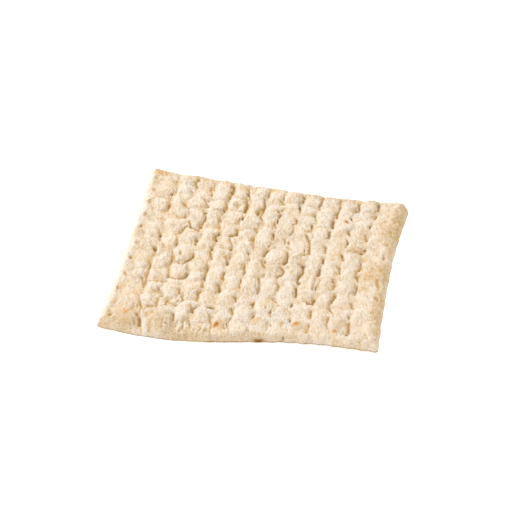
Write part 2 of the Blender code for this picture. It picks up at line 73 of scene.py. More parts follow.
# Ripples: the number of waves that are summed, and how their lengths spread
RIPPLE_WAVES = 7
RIPPLE_RANGE = (0.7, 1.4)

# Places of the docking holes, counted in columns from the left and rows from the back
COLUMNS = 14
ROWS = 11
COLUMN_PITCH = 0.01386
ROW_PITCH = 0.0160
LEFT_MARGIN = 0.0069
RIGHT_MARGIN = 0.0063
BACK_MARGIN = 0.0094
FRONT_MARGIN = 0.0152
END_SPREAD = 0.0037
END_SPREAD_POWER = 7
ROW_DRIFT = 0.0025
ROW_BUNCH = 0.0029
WANDER = 0.0009
WANDER_WAVE = 0.026
STEADY_BAND = 0.012

# Notches of the back edge between the ends of the ridges: column and depth
BACK_NOTCHES = (
    (1.05, 0.0006), (3.02, 0.0013), (4.66, 0.002), (5.2, 0.0026), (9.08, 0.001), (10.18, 0.0006),
    (11.2, 0.0017), (12.02, 0.0005),
)


def smoothstep(low, high, value):
    """0 below low and 1 above high, with an eased slope between."""
    share = np.clip((value - low) / (high - low), 0.0, 1.0)
    return share * share * (3.0 - 2.0 * share)


def ripple(x, y, wave, name):
    """A smooth random field of about -1 to 1, with humps about one wave apart."""
    draw = random.Random(name)
    total = np.zeros_like(x)
    for _ in range(RIPPLE_WAVES):
        angle = draw.uniform(0, math.pi)
        turns = 2 * math.pi * draw.uniform(*RIPPLE_RANGE) / wave
        phase = draw.uniform(0, 2 * math.pi)
        total += np.sin((x * math.cos(angle) + y * math.sin(angle)) * turns + phase)
    return total / math.sqrt(RIPPLE_WAVES)


def column_place(column):
    """Distance of a column of holes from the left edge; the outer columns lie wider apart."""
    middle = (COLUMNS - 1) / 2
    spread = END_SPREAD * ((column - middle) / middle) ** END_SPREAD_POWER
    return LEFT_MARGIN + END_SPREAD + column * COLUMN_PITCH + spread


def row_place(row):
    """Distance of a row of holes from the back edge; rows are wider apart in the middle."""
    even = BACK_MARGIN + row * ROW_PITCH
    share = even / SHEET_DEPTH
    drift = ROW_DRIFT * math.sin(math.pi * share)
    bunch = ROW_BUNCH * math.sin(2 * math.pi * share)
    return even - drift - bunch


SHEET_WIDTH = column_place(COLUMNS - 1) + RIGHT_MARGIN
SHEET_DEPTH = BACK_MARGIN + (ROWS - 1) * ROW_PITCH + FRONT_MARGIN


def edge(share, start, end, bows, length, name):
    """Place of an edge, at shares of the way from its start to its end; it is a bit ragged."""
    place = start * (1.0 - share) + end * share
    place = place + bows[0] * np.sin(math.pi * share) + bows[1] * np.sin(2 * math.pi * share)
    along = share * length
    return place + RAGGED_EDGE * ripple(along, np.zeros_like(along), RAGGED_WAVE, name)


def notches(across):
    """How far the back edge dips in between the ends of the ridges."""
    dip = np.zeros_like(across)
    for column, depth in BACK_NOTCHES:
        offset = (across - column_place(column)) / NOTCH_HALF_WIDTH
        dip = np.maximum(dip, depth * np.exp(-(offset**2)))
    return dip


def round_corners(across, down):
    """Draws the corners of the sheet in to an arc, at distances from its left and back edge."""
    at_left = across < SHEET_WIDTH / 2
    at_back = down < SHEET_DEPTH / 2
    side = np.where(at_left, across, SHEET_WIDTH - across)
    end = np.where(at_back, down, SHEET_DEPTH - down)
    back_radius = np.where(at_left, BACK_LEFT_RADIUS, BACK_RIGHT_RADIUS)
    front_radius = np.where(at_left, FRONT_LEFT_RADIUS, FRONT_RIGHT_RADIUS)
    radius = np.where(at_back, back_radius, front_radius)
    outward = np.clip(1.0 - side / radius, 0.0, 1.0)
    endward = np.clip(1.0 - end / radius, 0.0, 1.0)
    in_corner = (outward > 0) & (endward > 0)
    length = np.where(in_corner, np.hypot(outward, endward), 1.0)
    pull = np.where(in_corner, radius * (1.0 - np.maximum(outward, endward) / length), 0.0)
    across = across + np.where(at_left, pull, -pull) * outward
    down = down + np.where(at_back, pull, -pull) * endward
    return across, down


def edge_distance(across, down):
    """Distance from the nearest edge of the sheet."""
    return np.minimum.reduce([across, SHEET_WIDTH - across, down, SHEET_DEPTH - down])


def on_plan(across, down):
    """x and y of points given by their distances from the left and the back edge."""
    across, down = round_corners(across, down)
    wander = WANDER * smoothstep(0.0, STEADY_BAND, edge_distance(across, down))
    across = across + wander * ripple(across, down, WANDER_WAVE, "wander across")
    down = down + wander * ripple(across, down, WANDER_WAVE, "wander along")
    right_share = across / SHEET_WIDTH
    back_share = 1.0 - down / SHEET_DEPTH
    left = edge(back_share, FRONT_LEFT[0], BACK_LEFT[0], LEFT_BOWS, SHEET_DEPTH, "left")
    right = edge(back_share, FRONT_RIGHT[0], BACK_RIGHT[0], RIGHT_BOWS, SHEET_DEPTH, "right")
    front = edge(right_share, FRONT_LEFT[1], FRONT_RIGHT[1], FRONT_BOWS, SHEET_WIDTH, "front")
    back = edge(right_share, BACK_LEFT[1], BACK_RIGHT[1], BACK_BOWS, SHEET_WIDTH, "back")
    back = back - notches(across)
    x = left * (1.0 - right_share) + right * right_share
    y = front * (1.0 - back_share) + back * back_share
    return x, y


def curl(x, y):
    """Height of the underside: exactly 0 in the middle, where the bread rests."""
    x = x / CURL_SPAN
    y = y / CURL_SPAN
    raised = SIDE_CURL * x * x - TWIST * x * y + FRONT_CURL * np.minimum(y, 0.0) ** 2 - SETTLE
    blended = (raised + SETTLE_BLEND) ** 2 / (4 * SETTLE_BLEND)
    settled = np.where(raised < -SETTLE_BLEND, 0.0, blended)
    return np.where(raised > SETTLE_BLEND, raised, settled)


# ----------------------------------------
# The knobs: a docking roller pricks the sheet, and in the oven the dough puffs up between
# the holes, into ridges between the columns, each a row of knobs that run together.

SEED = 11

# A pair of values is for the uneven left and the even right, and eases between two columns
UNEVEN_TO_EVEN = (4.0, 8.5)
KNOB_RISE = 0.0026
KNOB_BASE = (0.0014, 0.0017)
RISE_SPREAD = 0.0005
WIDTH_OVERLAP = (1.20, 1.24)
LENGTH_OVERLAP = (1.34, 1.36)
TURN_SPREAD = (0.14, 0.06)
KNOB_FULLNESS = 3.4
KNOB_SQUARENESS = 2.6
KNOB_BLEND = 0.00011

# Fillers are the lower knobs that show between the others
FILLER_RISE = (0.0010, 0.0014)
FILLER_RISE_SPREAD = (0.0005, 0.0003)
FILLER_LEAN = (0.0014, 0.0010)
FILLER_PLACE_SPREAD = (0.0008, 0.0006)
FILLER_HALF_WIDTH = (0.0066, 0.0064)
FILLER_HALF_LENGTH = (0.0078, 0.0092)
FILLER_SIZE_SPREAD = (0.0009, 0.0007)
FILLER_TURN_SPREAD = (0.30, 0.12)

# Knobs, ridge by ridge from the left and each ridge from the back: how far the
# middle is past the ridge's left column, its row, half width in columns and half length
# in rows out to the creases
RIDGES = (
    (
        (0.5, 0.05, 0.52, 0.5), (0.52, 0.75, 0.48, 0.4), (0.58, 1.45, 0.55, 0.56),
        (0.58, 2.42, 0.45, 0.42), (0.5, 3.2, 0.46, 0.48), (0.55, 4.1, 0.46, 0.52),
        (0.76, 5.2, 0.66, 0.46), (0.55, 6.35, 0.44, 0.6), (0.58, 7.42, 0.48, 0.46),
        (0.5, 8.3, 0.48, 0.56), (0.95, 8.9, 0.36, 0.5), (0.45, 9.2, 0.45, 0.5),
    ),
    (
        (0.55, 0.1, 0.5, 0.48), (0.52, 0.85, 0.48, 0.38), (0.38, 2.1, 0.3, 0.8),
        (0.74, 2.62, 0.36, 0.44), (0.58, 3.84, 0.55, 0.5), (0.66, 4.8, 0.36, 0.48),
        (0.58, 6.05, 0.42, 0.62), (0.62, 6.95, 0.4, 0.52), (0.62, 7.86, 0.5, 0.36),
        (0.4, 8.75, 0.34, 0.52), (0.88, 8.85, 0.26, 0.46),
    ),
    (
        (0.52, 0.25, 0.44, 0.62), (0.66, 1.2, 0.48, 0.36), (0.34, 1.8, 0.62, 0.48),
        (0.56, 3.0, 0.52, 0.62), (0.22, 3.56, 0.26, 0.28), (0.56, 4.26, 0.54, 0.5),
        (0.48, 5.55, 0.46, 0.64), (0.64, 6.6, 0.56, 0.38), (0.55, 7.3, 0.46, 0.3),
        (0.48, 7.95, 0.38, 0.46), (0.34, 8.68, 0.28, 0.32), (0.84, 8.72, 0.3, 0.34),
        (0.72, 9.2, 0.42, 0.26),
    ),
    (
        (0.56, 0.2, 0.52, 0.52), (0.52, 0.98, 0.44, 0.4), (0.66, 1.72, 0.35, 0.42),
        (0.46, 2.48, 0.52, 0.48), (0.5, 3.24, 0.44, 0.38), (0.66, 4.04, 0.46, 0.46),
        (0.58, 4.66, 0.48, 0.3), (0.62, 5.34, 0.56, 0.46), (0.56, 6.2, 0.44, 0.44),
        (0.62, 6.88, 0.4, 0.32), (0.6, 7.9, 0.52, 0.6), (0.04, 8.24, 0.12, 0.3),
        (0.56, 8.94, 0.46, 0.38), (0.52, 9.52, 0.38, 0.34),
    ),
    (
        (0.58, 0.22, 0.44, 0.56), (0.6, 2.52, 0.5, 0.54), (0.6, 3.52, 0.6, 0.44),
        (0.74, 4.44, 0.36, 0.46), (0.28, 4.75, 0.24, 0.38), (0.62, 5.46, 0.46, 0.46),
        (0.64, 6.38, 0.45, 0.5), (0.58, 7.24, 0.46, 0.38), (0.52, 8.2, 0.38, 0.62),
        (0.52, 9.4, 0.42, 0.54),
    ),
    (
        (0.66, 0.16, 0.36, 0.46), (0.64, 1.26, 0.45, 0.82), (0.6, 2.62, 0.52, 0.62),
        (0.7, 3.74, 0.5, 0.46), (0.68, 4.62, 0.5, 0.54), (0.6, 5.4, 0.45, 0.44),
        (0.62, 6.24, 0.5, 0.48), (0.6, 7.08, 0.44, 0.44), (0.48, 8.1, 0.52, 0.56),
        (0.58, 9.5, 0.52, 0.8),
    ),
    (
        (0.58, 0.25, 0.48, 0.6), (0.66, 1.76, 0.44, 0.7), (0.62, 2.64, 0.46, 0.36),
        (0.68, 3.62, 0.48, 0.66), (0.62, 4.78, 0.48, 0.46), (0.58, 5.6, 0.5, 0.44),
        (0.44, 6.34, 0.34, 0.42), (0.66, 7.16, 0.54, 0.48), (0.56, 8.26, 0.44, 0.62),
        (0.52, 9.3, 0.46, 0.5), (0.5, 10.3, 0.46, 0.6),
    ),
    (
        (0.52, 0.22, 0.48, 0.52), (0.6, 0.96, 0.46, 0.34), (0.6, 1.94, 0.5, 0.66),
        (0.6, 2.94, 0.4, 0.38), (0.56, 3.8, 0.44, 0.6), (0.58, 5.06, 0.66, 0.52),
        (0.58, 6.08, 0.64, 0.48), (0.6, 7.2, 0.4, 0.64), (0.54, 8.76, 0.52, 0.78),
        (0.46, 10.16, 0.46, 0.62),
    ),
    (
        (0.56, 0.32, 0.46, 0.66), (0.6, 1.22, 0.44, 0.34), (0.62, 2.05, 0.42, 0.52),
        (0.5, 3.0, 0.42, 0.5), (0.82, 4.16, 0.48, 0.66), (0.6, 5.26, 0.42, 0.54),
        (0.6, 6.24, 0.4, 0.54), (0.58, 7.44, 0.5, 0.7), (0.6, 8.66, 0.46, 0.54),
        (0.5, 9.86, 0.46, 0.6),
    ),
    (
        (0.6, 0.22, 0.48, 0.54), (0.54, 1.22, 0.44, 0.48), (0.58, 2.06, 0.46, 0.46),
        (0.6, 3.16, 0.5, 0.66), (0.7, 4.42, 0.38, 0.56), (0.62, 5.54, 0.5, 0.64),
        (0.8, 6.7, 0.28, 0.52), (0.58, 7.7, 0.48, 0.62), (0.54, 9.66, 0.5, 0.9),
    ),
    (
        (0.62, 0.16, 0.48, 0.52), (0.52, 1.04, 0.42, 0.46), (0.58, 2.24, 0.46, 0.82),
        (0.56, 3.58, 0.46, 0.44), (0.62, 4.58, 0.48, 0.62), (0.58, 5.5, 0.46, 0.46),
        (0.5, 6.66, 0.46, 0.74), (0.6, 7.98, 0.36, 0.54), (0.56, 9.4, 0.5, 0.9),
    ),
    (
        (0.6, 0.16, 0.44, 0.54), (0.56, 1.12, 0.44, 0.42), (0.58, 1.86, 0.44, 0.38),
        (0.66, 2.58, 0.42, 0.42), (0.6, 3.6, 0.48, 0.62), (0.56, 4.8, 0.48, 0.56),
        (0.62, 5.76, 0.44, 0.44), (0.54, 6.76, 0.48, 0.54), (0.5, 7.84, 0.48, 0.62),
        (0.58, 8.86, 0.46, 0.46), (0.56, 9.86, 0.48, 0.52),
    ),
    (
        (0.62, 0.4, 0.5, 0.9), (0.6, 1.8, 0.5, 0.8), (0.56, 3.1, 0.46, 0.8),
        (0.6, 4.9, 0.52, 0.56), (0.6, 6.1, 0.46, 0.7), (0.62, 7.4, 0.5, 0.8),
        (0.58, 8.8, 0.52, 0.8), (0.6, 10.1, 0.5, 0.7),
    ),
)

# The largest blisters: column and row of the middle, half width, half length, turn, and
# rise above the groove floor. They cover the holes under them, fading out between two
# shares of their size.
BLISTERS = (
    (4.6, 1.5, 0.0078, 0.0104, 0.0, 0.0038),
    (0.62, 10.25, 0.0112, 0.0136, 0.0, 0.0036),
    (2.38, 10.3, 0.0112, 0.015, 0.0, 0.0042),
)
BLISTER_COVER = (0.55, 0.95)


def between(pair, column, columns=UNEVEN_TO_EVEN):
    """A paired value, eased from its left to its right value between two columns."""
    return pair[0] + (pair[1] - pair[0]) * smoothstep(*columns, column)


def make_knobs():
    """Knobs as (column, row, half width, half length, turn, rise)."""
    draw = random.Random(SEED)
    knobs = []
    for ridge, ridge_knobs in enumerate(RIDGES):
        for offset, row, columns_wide, rows_long in ridge_knobs:
            column = ridge + offset
            half_width = columns_wide * COLUMN_PITCH * between(WIDTH_OVERLAP, column)
            half_length = rows_long * ROW_PITCH * between(LENGTH_OVERLAP, column)
            turn = draw.gauss(0, between(TURN_SPREAD, column))
            rise = draw.gauss(KNOB_RISE, RISE_SPREAD)
            knobs.append((column, row, half_width, half_length, turn, rise))
    return knobs


def make_fillers():
    """Lower knobs in between, two to each row pitch of a ridge, leaning away from the holes."""
    draw = random.Random(SEED)
    fillers = []
    for ridge in range(COLUMNS - 1):
        middle = ridge + 0.5
        spread = between(FILLER_PLACE_SPREAD, middle)
        for half_row in range(-1, 2 * ROWS + 1):
            side = -1 if (ridge + half_row) % 2 == 0 else 1
            lean = -side * between(FILLER_LEAN, middle)
            column = middle + (lean + draw.gauss(0, spread)) / COLUMN_PITCH
            row = half_row / 2 + draw.gauss(0, spread) / ROW_PITCH
            size_spread = between(FILLER_SIZE_SPREAD, middle)
            half_width = draw.gauss(between(FILLER_HALF_WIDTH, middle), size_spread)
            half_length = draw.gauss(between(FILLER_HALF_LENGTH, middle), size_spread)
            turn = draw.gauss(0, between(FILLER_TURN_SPREAD, middle))
            rise = draw.gauss(between(FILLER_RISE, middle), between(FILLER_RISE_SPREAD, middle))
            fillers.append((column, row, half_width, half_length, turn, rise))
    return fillers


def cap(column, row, knob):
    """Rise of one rounded knob over the groove floor, at arrays of column and row numbers."""
    middle_column, middle_row, half_width, half_length, turn, rise = knob
    x = (column - middle_column) * COLUMN_PITCH
    y = (row - middle_row) * ROW_PITCH
    across = (x * math.cos(turn) + y * math.sin(turn)) / half_width
    along = (y * math.cos(turn) - x * math.sin(turn)) / half_length
    reach = np.abs(across) ** KNOB_SQUARENESS + np.abs(along) ** KNOB_SQUARENESS
    reach = np.minimum(reach, 1.0) ** (1.0 / KNOB_SQUARENESS)
    return rise * (1.0 - reach**KNOB_FULLNESS)


def merged_caps(column, row, knobs, base):
    """Union of the knobs and a base, with a narrow rounded crease where two of them meet."""
    total = np.exp(base / KNOB_BLEND)
    for knob in knobs:
        total += np.expm1(cap(column, row, knob) / KNOB_BLEND)
    return KNOB_BLEND * np.log(total)


def covered(column, row, zones, fade):
    """How strongly the zones cover each point; their half sizes are in columns and rows."""
    cover = np.zeros_like(column)
    for zone_column, zone_row, half_width, half_length, strength in zones:
        reach = np.hypot((column - zone_column) / half_width, (row - zone_row) / half_length)
        cover = np.maximum(cover, strength * (1.0 - smoothstep(*fade, reach)))
    return cover


def blister_cover(column, row):
    """How fully a large blister covers each point, from 0 to 1."""
    zones = [(*knob[:2], knob[2] / COLUMN_PITCH, knob[3] / ROW_PITCH, 1.0) for knob in BLISTERS]
    return covered(column, row, zones, BLISTER_COVER)


# ----------------------------------------
# The holes: each pin of the docking roller left a narrow slot, and the dough round it is
# drawn down into a funnel. Grooves run from hole to hole down the columns.

# Depths and sizes in metres, and the share of the rise that a funnel takes away. A hole's
# openness is drawn from a range, and the holes of the right edge are shallow.
GROOVE_DEPTH = (0.0001, 0.0003)
GROOVE_SWELL = 0.35
GROOVE_HALF_WIDTH = 0.0007
FUNNEL_SHARE = 0.34
FUNNEL_HALF_SIZE = (0.0018, 0.0034)
HOLE_DEPTH = 0.0020
HOLE_SPREAD = (0.3, 1.0)
HOLE_HALF_SIZE = (0.0008, 0.0015)
HOLE_FLOOR = 0.0008
EDGE_FUNNEL_SHARE = 0.30
EDGE_HOLE_DEPTH = 0.0010

# The left column of holes hardly pierced the crust: column, rows, half sizes and depth
LEFT_HOLE_COLUMN = 0.04
LEFT_HOLE_ROWS = (0.35, 1.40, 2.35, 3.40, 4.20, 5.40, 6.35, 7.40, 8.45, 9.40, 10.35)
LEFT_HOLE_HALF_SIZE = (0.0010, 0.0018)
LEFT_HOLE_DEPTH = 0.0008


def spots(column, row, places):
    """A field that falls off from each spot's strength over its half width and half length."""
    field = np.zeros_like(column)
    for middle_column, middle_row, half_width, half_length, strength in places:
        x = (column - middle_column) * COLUMN_PITCH / half_width
        y = (row - middle_row) * ROW_PITCH / half_length
        field = np.maximum(field, strength * np.exp(-(x**2) - y**2))
    return field


def left_hole_field(column, row):
    """1 in the middle of each hole of the left column, falling off to 0 round it."""
    places = [(LEFT_HOLE_COLUMN, place, *LEFT_HOLE_HALF_SIZE, 1.0) for place in LEFT_HOLE_ROWS]
    return spots(column, row, places)


def hole_fields(column, row):
    """Depth of the other holes, and how far the dough round each is drawn down to it."""
    draw = random.Random(SEED)
    slots = []
    funnels = []
    for hole_column in range(COLUMNS):
        at_edge = hole_column == COLUMNS - 1
        depth = EDGE_HOLE_DEPTH if at_edge else HOLE_DEPTH
        share = EDGE_FUNNEL_SHARE if at_edge else FUNNEL_SHARE
        for hole_row in range(ROWS):
            middle = (hole_column, hole_row - 0.5 * (hole_column % 2))
            openness = draw.uniform(*HOLE_SPREAD)
            slots.append((*middle, *HOLE_HALF_SIZE, depth * openness))
            funnels.append((*middle, *FUNNEL_HALF_SIZE, share * openness))
    past_left = slice(ROWS, None)
    return spots(column, row, slots[past_left]), spots(column, row, funnels[past_left])


def groove_cut(column, row):
    """Depth of the grooves along the columns of holes, deepest at the holes."""
    nearest = np.clip(np.round(column), 0, COLUMNS - 1)
    offset = (column - nearest) * COLUMN_PITCH
    phase = row + 0.5 * (nearest % 2)
    swell = 1.0 - GROOVE_SWELL + GROOVE_SWELL * np.cos(2 * math.pi * phase)
    depth = between(GROOVE_DEPTH, column) * swell
    inner = (nearest > 0) & (nearest < COLUMNS - 1)
    return np.where(inner, depth, 0.0) * np.exp(-((offset / GROOVE_HALF_WIDTH) ** 2))


# ----------------------------------------
# Creases, welts and breaks: puffs that met while the dough was soft pressed a crease between
# them, here and there with a rim that stands up, and the thinnest crust sank or burst.

CREASE_DEPTH = 0.0014
CREASE_HALF_WIDTH = 0.0008
CREASE_DIP = 0.00045
CREASE_DIP_HALF_WIDTH = 0.0024
CREASE_DIP_LEAN = 0.08
WELT_RISE = 0.0009
WELT_HALF_WIDTH = 0.0014

# Sunk blister, burst bubbles and cracks: column, row, half width, half length and depth
BREAKS = (
    (4.66, 1.62, 0.0031, 0.0036, 0.0031), (10.72, 1.92, 0.0014, 0.0014, 0.0014),
    (2.36, 5.5, 0.0009, 0.0034, 0.0014), (4.97, 0.45, 0.0011, 0.0013, 0.002),
    (4.85, 8.9, 0.0032, 0.0011, 0.0022), (7.62, 10.87, 0.0034, 0.001, 0.0022),
    (2.82, 10.3, 0.0009, 0.0009, 0.0014), (1.25, 9.82, 0.0009, 0.0013, 0.0016),
    (1.52, 10.4, 0.0009, 0.0022, 0.0016), (11.02, 2.72, 0.001, 0.0014, 0.002),
    (11.92, 4.22, 0.001, 0.0014, 0.002), (5.75, 10.15, 0.0008, 0.002, 0.0012),
)

# Creases where two puffs meet: strength, then (column, row) points along each
CREASES = (
    (0.4, (0.95, 0.75), (1.05, 1.1), (1.17, 1.6), (1.1, 1.95)), (0.4, (1.0, 2.6), (1.02, 2.85)),
    (0.6, (2.0, 0.0), (1.98, 0.3), (2.13, 0.62)),
    (0.3, (2.15, 0.65), (2.17, 1.0), (2.0, 1.25), (1.75, 1.7), (1.67, 2.0)),
    (0.7, (1.67, 2.0), (1.85, 2.28), (2.07, 2.45)), (0.7, (2.8, 0.45), (2.95, 0.8), (3.05, 1.02)),
    (0.8, (4.1, 0.0), (4.15, 0.35), (4.05, 0.65)), (0.5, (4.05, 0.65), (3.98, 1.0), (3.95, 1.3)),
    (0.5, (4.92, 0.05), (5.1, 0.45), (5.12, 0.8)),
    (0.9, (4.98, 0.85), (5.12, 1.2), (5.12, 1.65), (4.92, 2.05)),
    (0.3, (3.97, 1.15), (4.15, 1.6), (4.5, 1.85)), (0.7, (6.0, 0.15), (6.17, 0.48)),
    (0.8, (5.92, 0.7), (6.03, 1.2), (6.17, 1.75), (6.12, 2.5)),
    (0.5, (5.27, 0.85), (5.22, 1.5), (5.02, 2.0)), (0.7, (2.75, 1.45), (2.97, 1.75), (3.02, 1.98)),
    (0.4, (3.0, 1.98), (2.75, 2.15), (2.45, 2.2)), (0.6, (3.85, 1.35), (4.1, 1.75), (4.02, 2.3)),
    (0.4, (3.8, 2.15), (3.55, 2.15), (3.3, 2.02)), (0.3, (3.97, 2.4), (3.9, 2.85)),
    (0.8, (2.85, 2.5), (3.12, 3.0), (3.05, 3.4), (2.95, 3.7)),
    (0.9, (2.2, 3.25), (2.52, 3.62), (3.02, 3.75)), (0.5, (1.6, 3.12), (1.88, 3.1)),
    (0.6, (3.85, 3.0), (3.9, 3.48)), (0.5, (4.9, 2.6), (5.1, 2.95)),
    (1.0, (5.1, 3.4), (5.06, 3.8), (4.72, 3.88)), (0.9, (2.27, 3.6), (2.15, 4.05), (1.98, 4.32)),
    (0.7, (2.97, 4.45), (2.98, 4.78)), (0.5, (2.85, 3.85), (3.2, 4.0)),
    (0.8, (3.75, 3.98), (4.02, 4.15), (4.15, 4.42)), (0.7, (5.93, 3.25), (6.1, 3.5)),
    (0.8, (4.78, 4.1), (4.92, 4.5), (4.93, 4.92)), (0.6, (6.0, 4.0), (6.15, 4.42)),
    (0.7, (1.05, 4.6), (1.12, 4.85)), (0.5, (1.75, 4.4), (2.0, 4.9), (2.05, 5.1)),
    (0.6, (1.0, 5.5), (1.04, 5.88)), (0.7, (1.93, 5.45), (2.05, 6.05), (2.0, 6.5), (2.0, 6.95)),
    (0.9, (3.0, 5.3), (2.93, 5.85), (2.68, 6.25)), (0.6, (2.5, 6.22), (2.22, 6.05), (2.05, 5.75)),
    (0.9, (2.2, 7.02), (2.6, 7.12), (3.02, 7.02), (3.15, 6.78)),
    (0.8, (3.93, 6.0), (4.02, 6.45), (4.07, 7.05)), (0.8, (4.0, 5.2), (4.18, 5.52)),
    (0.8, (4.88, 5.45), (5.05, 5.88)), (0.8, (4.93, 6.45), (5.05, 6.92)),
    (0.8, (6.0, 5.85), (6.12, 6.3), (6.05, 6.5)), (0.5, (6.03, 5.25), (6.1, 5.5)),
    (0.8, (0.98, 6.35), (1.07, 6.85), (1.13, 7.4), (1.05, 7.98)),
    (0.6, (1.2, 7.62), (1.75, 7.5), (2.12, 7.35)), (0.5, (1.6, 8.1), (2.05, 8.15)),
    (0.5, (2.15, 8.0), (2.17, 8.42)), (0.6, (2.85, 7.85), (2.98, 8.2), (3.25, 8.42)),
    (0.9, (4.12, 7.8), (4.08, 8.15), (3.95, 8.48)), (0.8, (3.97, 7.15), (4.02, 7.48)),
    (0.7, (4.88, 7.25), (5.02, 7.62)), (0.7, (5.93, 7.2), (6.02, 7.45)),
    (0.8, (5.87, 8.02), (5.98, 8.32)), (0.6, (2.6, 8.7), (3.08, 8.8)),
    (0.6, (0.93, 8.55), (1.2, 9.0), (1.42, 9.5)), (0.7, (1.62, 9.3), (2.0, 9.2), (2.05, 8.6)),
    (0.6, (1.35, 9.6), (1.4, 9.95)), (1.2, (1.44, 10.0), (1.54, 10.25), (1.6, 10.5)),
    (0.3, (1.6, 10.5), (1.76, 10.85)), (0.5, (2.05, 10.25), (2.12, 10.75)),
    (0.5, (2.62, 10.2), (2.66, 10.6)), (0.3, (1.8, 10.22), (2.1, 10.18), (2.55, 10.24)),
    (0.45, (1.35, 9.6), (1.62, 9.42), (1.95, 9.36), (2.2, 9.24), (2.45, 9.2)),
    (0.9, (3.02, 9.42), (3.06, 9.95)), (0.9, (3.7, 8.85), (3.85, 9.08), (4.02, 9.28)),
    (0.6, (4.8, 9.3), (4.92, 9.75), (5.08, 10.2), (5.15, 10.6)), (0.9, (5.87, 8.85), (6.06, 9.25)),
    (0.4, (6.05, 9.6), (6.02, 10.3)), (0.5, (5.8, 9.92), (5.83, 10.25)),
    (0.6, (3.6, 9.8), (3.68, 10.35)), (0.6, (3.98, 9.8), (4.02, 10.35)),
    (0.5, (3.3, 9.85), (3.26, 10.25)), (0.7, (8.0, -0.05), (8.06, 0.48)),
    (0.8, (6.87, 0.62), (7.06, 0.9)), (0.8, (9.03, -0.2), (8.92, 0.1), (8.95, 0.55), (9.12, 0.9)),
    (0.9, (10.03, -0.2), (10.17, 0.3), (9.98, 0.8), (9.95, 1.2), (10.12, 1.6)),
    (0.9, (11.03, 0.0), (11.2, 0.45), (10.97, 0.66)), (0.8, (12.0, 0.05), (12.04, 0.48)),
    (0.9, (6.85, 1.6), (7.05, 1.95), (7.0, 2.15)), (0.8, (8.0, 1.1), (8.08, 1.42)),
    (0.9, (8.03, 2.1), (8.1, 2.45), (7.92, 2.58)), (0.6, (8.97, 1.45), (9.03, 1.88)),
    (0.7, (9.03, 2.55), (8.95, 2.92), (8.72, 3.02)),
    (0.9, (8.75, 3.3), (9.05, 3.7), (9.3, 4.35), (9.3, 4.65)), (0.7, (9.3, 4.68), (8.92, 4.8)),
    (1.0, (10.02, 1.95), (10.09, 2.4)), (0.9, (9.97, 2.7), (10.13, 3.15), (10.05, 3.32)),
    (0.9, (9.95, 3.92), (10.06, 4.38)), (0.8, (9.97, 4.85), (10.08, 5.2)),
    (1.0, (10.95, 2.58), (11.1, 2.84)), (0.8, (11.82, 2.68), (12.0, 3.05)),
    (0.6, (11.92, 1.05), (12.0, 1.32)), (0.7, (6.85, 2.68), (7.13, 2.9)),
    (0.9, (7.02, 3.6), (7.0, 4.02)), (0.7, (8.0, 3.1), (7.95, 3.38)), (0.6, (7.78, 3.75), (7.78, 4.12)),
    (0.6, (7.93, 4.3), (8.03, 4.45)), (0.7, (10.98, 3.3), (11.04, 3.9)),
    (0.9, (10.98, 4.42), (11.03, 4.8)), (0.8, (12.04, 4.1), (11.88, 4.26), (11.62, 4.22)),
    (0.5, (7.05, 4.75), (7.4, 4.55), (7.8, 4.62)),
    (0.9, (7.92, 4.7), (8.1, 5.0), (8.22, 5.35), (7.98, 5.6)), (0.9, (7.05, 4.72), (6.88, 5.1)),
    (0.8, (6.8, 5.4), (7.02, 5.9)), (0.9, (7.92, 5.9), (8.2, 6.1), (8.2, 6.35), (7.88, 6.52)),
    (0.7, (6.8, 6.6), (7.06, 7.0), (7.12, 7.45), (7.02, 7.78)), (0.7, (7.95, 7.05), (8.02, 7.45)),
    (0.8, (7.88, 8.02), (8.02, 8.22)),
    (0.9, (9.02, 5.5), (9.09, 6.1), (8.98, 6.45), (8.97, 6.75), (9.14, 6.82)),
    (0.9, (8.97, 7.12), (9.04, 7.85)), (1.0, (10.02, 5.7), (10.03, 5.98)),
    (0.6, (9.98, 6.0), (9.88, 6.35), (9.86, 7.1)), (0.8, (11.03, 5.4), (11.1, 5.8)),
    (0.7, (12.02, 5.25), (11.87, 5.7), (12.08, 6.22)),
    (0.7, (10.75, 6.35), (11.03, 6.72), (10.92, 7.05)), (0.8, (12.02, 6.55), (12.11, 7.18)),
    (0.9, (10.12, 7.9), (9.98, 8.26), (9.68, 8.28)), (0.7, (10.9, 7.4), (10.96, 7.75), (10.92, 8.2)),
    (0.8, (10.93, 8.55), (11.08, 8.78)), (0.8, (11.93, 7.95), (12.01, 8.28)),
    (0.7, (8.0, 8.92), (8.02, 9.38)), (0.9, (7.02, 8.42), (7.0, 8.9)),
    (0.9, (9.95, 8.75), (10.05, 9.28)), (0.7, (10.93, 9.15), (10.95, 9.72), (11.03, 9.92)),
    (0.9, (11.93, 9.45), (12.06, 10.15), (11.92, 10.32)), (0.7, (10.02, 9.8), (9.96, 10.48)),
    (0.5, (7.9, 9.8), (7.97, 10.42)), (0.4, (8.2, 8.5), (8.6, 8.62), (8.95, 8.95)),
    (0.6, (12.94, 6.1), (13.0, 6.85)), (0.6, (12.8, 10.15), (12.85, 10.5)),
)

# Welts where a puff's rim stands up: strength, then (column, row) points along each
WELTS = (
    (1.0, (1.46, 9.62), (1.48, 9.9), (1.68, 10.2), (1.84, 10.5), (1.86, 10.95)),
    (0.5, (1.5, 9.62), (1.75, 9.45), (2.3, 9.35)), (0.5, (3.22, 9.3), (3.22, 9.9)),
)


